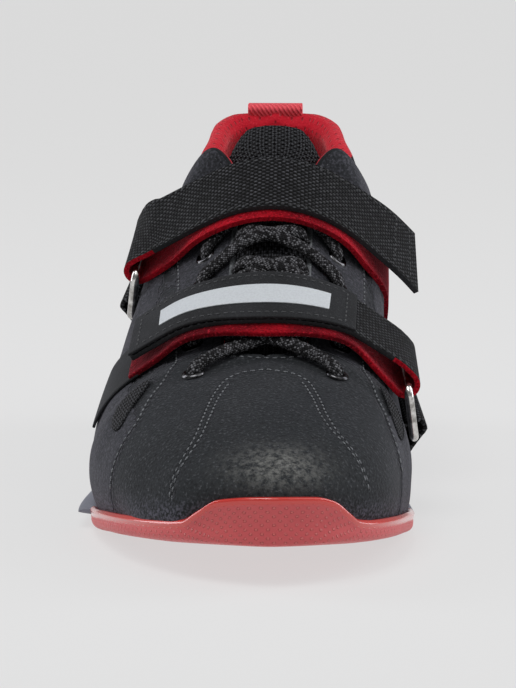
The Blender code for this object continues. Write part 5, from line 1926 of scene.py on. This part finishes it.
def ring_bars(number):
    side = strap_fact(number, "ring_side")
    upper_at = side * (strap_fact(number, "ring_at") + 0.0005)
    lower_at = side * (strap_fact(number, "ring_at") + ring_reach)
    half = strap_fact(number, "width") / 2
    ends = [on_band(number, upper_at, s * half, bar_lift(number)) for s in (-1, 1)]
    feet = [on_band(number, lower_at, s * half, tab_lift()) for s in (-1, 1)]
    upper, lower = (ends[0] + ends[1]) / 2, (feet[0] + feet[1]) / 2
    along = unit(ends[1] - ends[0] + (feet[1] - feet[0]) * 0.5)
    lower = lower - along * ((lower - upper) @ along)
    return upper, lower, along


def make_rings():
    """Two rectangular rings of round polished wire."""
    for number, name in enumerate(("instep_ring", "vamp_ring")):
        upper, lower, along = ring_bars(number)
        height = np.linalg.norm(lower - upper)
        down = (lower - upper) / height
        centre = (upper + lower) / 2
        wide, tall = ring_inner_width / 2 + ring_wire - ring_corner, height / 2 - ring_corner
        points = []
        for quarter, (x, y) in enumerate(((1, 1), (-1, 1), (-1, -1), (1, -1))):
            for k in range(9):
                angle = math.radians(90 * quarter + 90 * k / 8)
                points.append(
                    centre + along * (x * wide + ring_corner * math.cos(angle))
                    + down * (y * tall + ring_corner * math.sin(angle))
                )
        points = np.array(points + points[:1])
        forward = unit(np.roll(points[:-1], -1, axis=0) - np.roll(points[:-1], 1, axis=0))
        forward = np.concatenate([forward, forward[:1]])
        flat = np.cross(along, down)
        inward = np.cross(forward, flat)
        turns = np.linspace(0, 2 * math.pi, 21)
        positions = points[None] + ring_wire * (
            inward[None] * np.cos(turns)[:, None, None] + flat[None, None] * np.sin(turns)[:, None, None]
        )
        body = new_body()
        grid_into(body, positions)
        piece(f"{name}_wire", body, (metal("polished_steel", False),), angle=80, replaces=(name,))


def make_ring_tabs():
    """Webbing folded round each ring's lower bar."""
    low = tab_thickness / 2 + clearance
    radius = tab_lift() - low
    settled = low + tab_thickness + strap_gap
    for number, name in enumerate(("instep_ring_tab", "vamp_ring_tab")):
        side = strap_fact(number, "ring_side")
        at = strap_fact(number, "ring_at") + ring_reach
        path = [(at + tab_length * (1 - share), low) for share in np.linspace(0, 1, 8)[:-1]]
        path += fold(at, tab_lift(), radius, -1)
        for share in np.linspace(0, 1, 8)[1:]:
            loose = tab_lift() + radius - settled
            path.append((at + tab_length * share, settled + loose * (1 - share) ** 2))
        rows = finer([(side * along, lift, 0.0, tab_width) for along, lift in path], 2)
        points = ribbon_points(number, rows, 10)
        body = new_body()
        grid_into(body, points, band_run(points))
        made = piece(
            f"{name}_webbing", body, (webbing(),), recalc=False, angle=70, replaces=(name,)
        )
        thicken(made, tab_thickness, bevel=0.0003)


def make_patch():
    """The leather patch on the vamp strap's free end, its stitches and its plain pale strip."""
    raised = strap_thickness / 2 + clearance + patch_thickness / 2
    rows = [(along, lift + raised, slip, patch_width) for along, lift, slip, _ in return_path(1)]
    rows = finer(rows, 3)
    points = eased(tight(ribbon_points(1, rows, 20), 1), -40)
    points = points[:, int(np.argmax(rows[:, 0] < patch_from_middle)):]
    body = new_body()
    grid_into(body, points, band_run(points))
    made = piece(
        "strap_patch_leather", body, (plain_nubuck(),),
        recalc=False, angle=70, replaces=("strap_patch",),
    )
    thicken(made, patch_thickness, bevel=0.0003)
    up = facing_up(points)
    top = points + up * (patch_thickness / 2)
    sewn = bmesh.new()
    for line, normal in (
        (top[2, 5:-5], up[2, 5:-5]), (top[-3, 5:-5], up[-3, 5:-5]),
        (top[2:-2, 4], up[2:-2, 4]), (top[2:-2, -5], up[2:-2, -5]),
    ):
        stitches_into(sewn, line, normal, 0.0017, 0.0027, 0.00026)
    piece("strap_patch_stitches", sewn, (thread(True),), weld=0, angle=80)
    count = points.shape[1] - 1
    first, last = int(count * 0.13), int(count * 0.86)
    strip = top[6:15, first:last] + up[6:15, first:last] * 0.00018
    body = new_body()
    grid_into(body, strip, band_run(strip))
    made = piece("strap_patch_strip", body, (pale_strip(),), recalc=False, angle=70)
    thicken(made, 0.00035, bevel=0.0001)


def make_pull_loop():
    """A loop of ribbed webbing over the collar's back."""
    controls = wall_controls(0.0, LATERAL)[0]
    top = controls[3]
    curve = bezier(controls, np.linspace(0, 1, 26))
    stand_off = clearance + loop_thickness / 2
    inner = top[1] - collar_padding - stand_off - 0.0016
    low = top[2] - loop_drop
    bottom = float(np.interp(low, curve[:, 2], curve[:, 1]))
    outer_top = top[1] + stand_off + 0.0012
    line = np.array([
        (inner + 0.0072, top[2] - 0.0040),
        (inner + 0.0062, top[2] + 0.0005),
        (inner + 0.0052, top[2] + loop_rise - 0.0012),
        (inner + 0.0068, top[2] + loop_rise),
        (outer_top - 0.0005, top[2] + loop_rise),
        (outer_top + 0.0022, top[2] + loop_rise - 0.0022),
        (bottom + loop_bulge * 0.9, top[2] - 0.2 * loop_drop),
        (bottom + loop_bulge, top[2] - 0.5 * loop_drop),
        (bottom + stand_off + 0.0012, low),
    ])
    at = arc_of(line)
    even = np.linspace(0, at[-1], 70)
    course = flow_rows(at, line, even)
    share = np.linspace(-0.5, 0.5, 17)
    points = np.zeros((len(share), len(course), 3))
    points[..., 0] = share[:, None] * loop_width
    points[..., 1:] = course[None]
    body = new_body()
    grid_into(body, points, band_run(points))
    made = piece(
        "pull_loop_webbing", body, (ribbed_loop(),),
        recalc=False, angle=70, replaces=("pull_loop",),
    )
    thicken(made, loop_thickness, bevel=0.0003)


# Stage


def area_light(name, place, aim, size, power, colour=(1.0, 1.0, 1.0)):
    data = bpy.data.lights.new(name, "AREA")
    data.energy = power
    data.shape = "RECTANGLE"
    data.size, data.size_y = size
    data.color = colour
    made = bpy.data.objects.new(name, data)
    made.location = place
    made.rotation_euler = (Vector(aim) - Vector(place)).to_track_quat("-Z", "Y").to_euler()
    made.visible_camera = False
    bpy.context.scene.collection.objects.link(made)


def make_stage():
    """A pale floor that runs on into a backdrop of its own brightness, soft lights, the camera."""
    settings = bpy.context.scene.stage_settings
    scene = bpy.context.scene
    scene.view_settings.view_transform = "Standard"
    body = bmesh.new()
    bmesh.ops.create_grid(body, x_segments=1, y_segments=1, size=12.0)
    mesh = bpy.data.meshes.new("floor")
    body.to_mesh(mesh)
    body.free()
    floor = bpy.data.objects.new("floor", mesh)
    made, tree, shader = material(
        "pale_floor", 0.9, Specular_IOR_Level=0.0, Emission_Strength=0.60,
        Emission_Color=(1.0, 1.0, 1.0, 1.0),
    )
    grain = noise(tree, object_place(tree), 0.3, 2.0)
    shade = tuple(0.985 * v for v in settings.floor)
    wire(tree, shader, tint(tree, grain, settings.floor, shade))
    mesh.materials.append(made)
    scene.collection.objects.link(floor)
    world = bpy.data.worlds.new("even_light")
    world.use_nodes = True
    sky = world.node_tree.nodes["Background"]
    sky.inputs["Color"].default_value = (*srgb(221, 221, 221), 1.0)
    sky.inputs["Strength"].default_value = settings.world
    scene.world = world
    sun_light("key", (-0.35, -0.60, 1.7), 1.15, 30)
    sun_light("fill", (0.95, -0.35, 1.1), 0.50, 50)
    aim = (0.0, -0.20, 0.05)
    area_light("toe_gleam", (0.05, -0.75, 0.85), aim, (0.35, 0.35), 0.9)
    area_light("left_edge", (-0.80, 0.10, 0.35), aim, (0.4, 0.9), 4.0, (0.95, 0.95, 1.0))
    area_light("right_edge", (0.80, 0.10, 0.35), aim, (0.4, 0.9), 4.0, (0.95, 0.95, 1.0))
    data = bpy.data.cameras.new("photo_view")
    data.sensor_fit = "AUTO"
    data.sensor_width = 36.0
    data.lens = settings.lens
    data.clip_start, data.clip_end = 0.05, 40.0
    camera = bpy.data.objects.new("photo_view", data)
    camera.location = settings.eye
    camera.rotation_euler = (math.pi / 2 - settings.pitch, 0.0, settings.turn)
    scene.collection.objects.link(camera)
    scene.camera = camera


def sun_light(name, place, strength, softness):
    data = bpy.data.lights.new(name, "SUN")
    data.energy = strength
    data.angle = math.radians(softness)
    made = bpy.data.objects.new(name, data)
    made.rotation_euler = (-Vector(place)).to_track_quat("-Z", "Y").to_euler()
    bpy.context.scene.collection.objects.link(made)


class ShoeOperator:
    """What the shoe's operators share."""

    bl_options = {"REGISTER", "UNDO"}


class SHOE_OT_stage(ShoeOperator, bpy.types.Operator):
    """Lay the floor, the light and the camera"""

    bl_idname = "shoe.stage"
    bl_label = "Stage"

    def execute(self, context):
        make_stage()
        return {"FINISHED"}


class SHOE_OT_upper(ShoeOperator, bpy.types.Operator):
    """Make the upper's wall with its rolled collar, panels and creases"""

    bl_idname = "shoe.upper"
    bl_label = "Upper"

    def execute(self, context):
        make_upper()
        return {"FINISHED"}


class SHOE_OT_seams(ShoeOperator, bpy.types.Operator):
    """Sew the upper's seams and set its mesh vents"""

    bl_idname = "shoe.seams"
    bl_label = "Seams and vents"

    def execute(self, context):
        make_seams()
        make_vents()
        return {"FINISHED"}


class SHOE_OT_sole(ShoeOperator, bpy.types.Operator):
    """Make the outsole and midsole and finish the insole"""

    bl_idname = "shoe.sole"
    bl_label = "Sole"

    def execute(self, context):
        make_outsole()
        make_midsole()
        make_insole()
        return {"FINISHED"}


class SHOE_OT_tongue(ShoeOperator, bpy.types.Operator):
    """Make the padded tongue"""

    bl_idname = "shoe.tongue"
    bl_label = "Tongue"

    def execute(self, context):
        make_tongue()
        return {"FINISHED"}


class SHOE_OT_laces(ShoeOperator, bpy.types.Operator):
    """Set the eyelets and run the lace through them"""

    bl_idname = "shoe.laces"
    bl_label = "Eyelets and laces"

    def execute(self, context):
        make_eyelets()
        make_laces()
        return {"FINISHED"}


class SHOE_OT_straps(ShoeOperator, bpy.types.Operator):
    """Make both straps, their patch, rings and tabs"""

    bl_idname = "shoe.straps"
    bl_label = "Straps"

    def execute(self, context):
        make_straps()
        make_patch()
        make_rings()
        make_ring_tabs()
        return {"FINISHED"}


class SHOE_OT_pull_loop(ShoeOperator, bpy.types.Operator):
    """Make the pull loop at the heel"""

    bl_idname = "shoe.pull_loop"
    bl_label = "Pull loop"

    def execute(self, context):
        make_pull_loop()
        return {"FINISHED"}


OPERATORS = (
    SHOE_OT_stage, SHOE_OT_upper, SHOE_OT_seams, SHOE_OT_sole, SHOE_OT_tongue,
    SHOE_OT_laces, SHOE_OT_straps, SHOE_OT_pull_loop,
)


class SHOE_PT_pieces(bpy.types.Panel):
    """The shoe's sizes, colours and pieces"""

    bl_idname = "SHOE_PT_pieces"
    bl_label = "Weightlifting shoe"
    bl_space_type = "VIEW_3D"
    bl_region_type = "UI"
    bl_category = "Shoe"

    def draw(self, context):
        for settings in ("shoe_colours", "shoe_sizes", "stage_settings"):
            box = self.layout.box()
            group = getattr(context.scene, settings)
            for name in group.__annotations__:
                box.prop(group, name)
        for operator in OPERATORS:
            self.layout.operator(operator.bl_idname)


SETTINGS = (
    ("shoe_colours", ShoeColours), ("shoe_sizes", ShoeSizes), ("stage_settings", StageSettings),
)


def register():
    for name, group in SETTINGS:
        bpy.utils.register_class(group)
        setattr(bpy.types.Scene, name, bpy.props.PointerProperty(type=group))
    for made in (*OPERATORS, SHOE_PT_pieces):
        bpy.utils.register_class(made)


def unregister():
    for made in (SHOE_PT_pieces, *reversed(OPERATORS)):
        bpy.utils.unregister_class(made)
    for name, group in reversed(SETTINGS):
        delattr(bpy.types.Scene, name)
        bpy.utils.unregister_class(group)


def main():
    register()
    bpy.ops.shoe.stage()
    bpy.ops.shoe.upper()
    bpy.ops.shoe.seams()
    bpy.ops.shoe.sole()
    bpy.ops.shoe.tongue()
    bpy.ops.shoe.laces()
    bpy.ops.shoe.straps()
    bpy.ops.shoe.pull_loop()


if __name__ == "__main__":
    main()
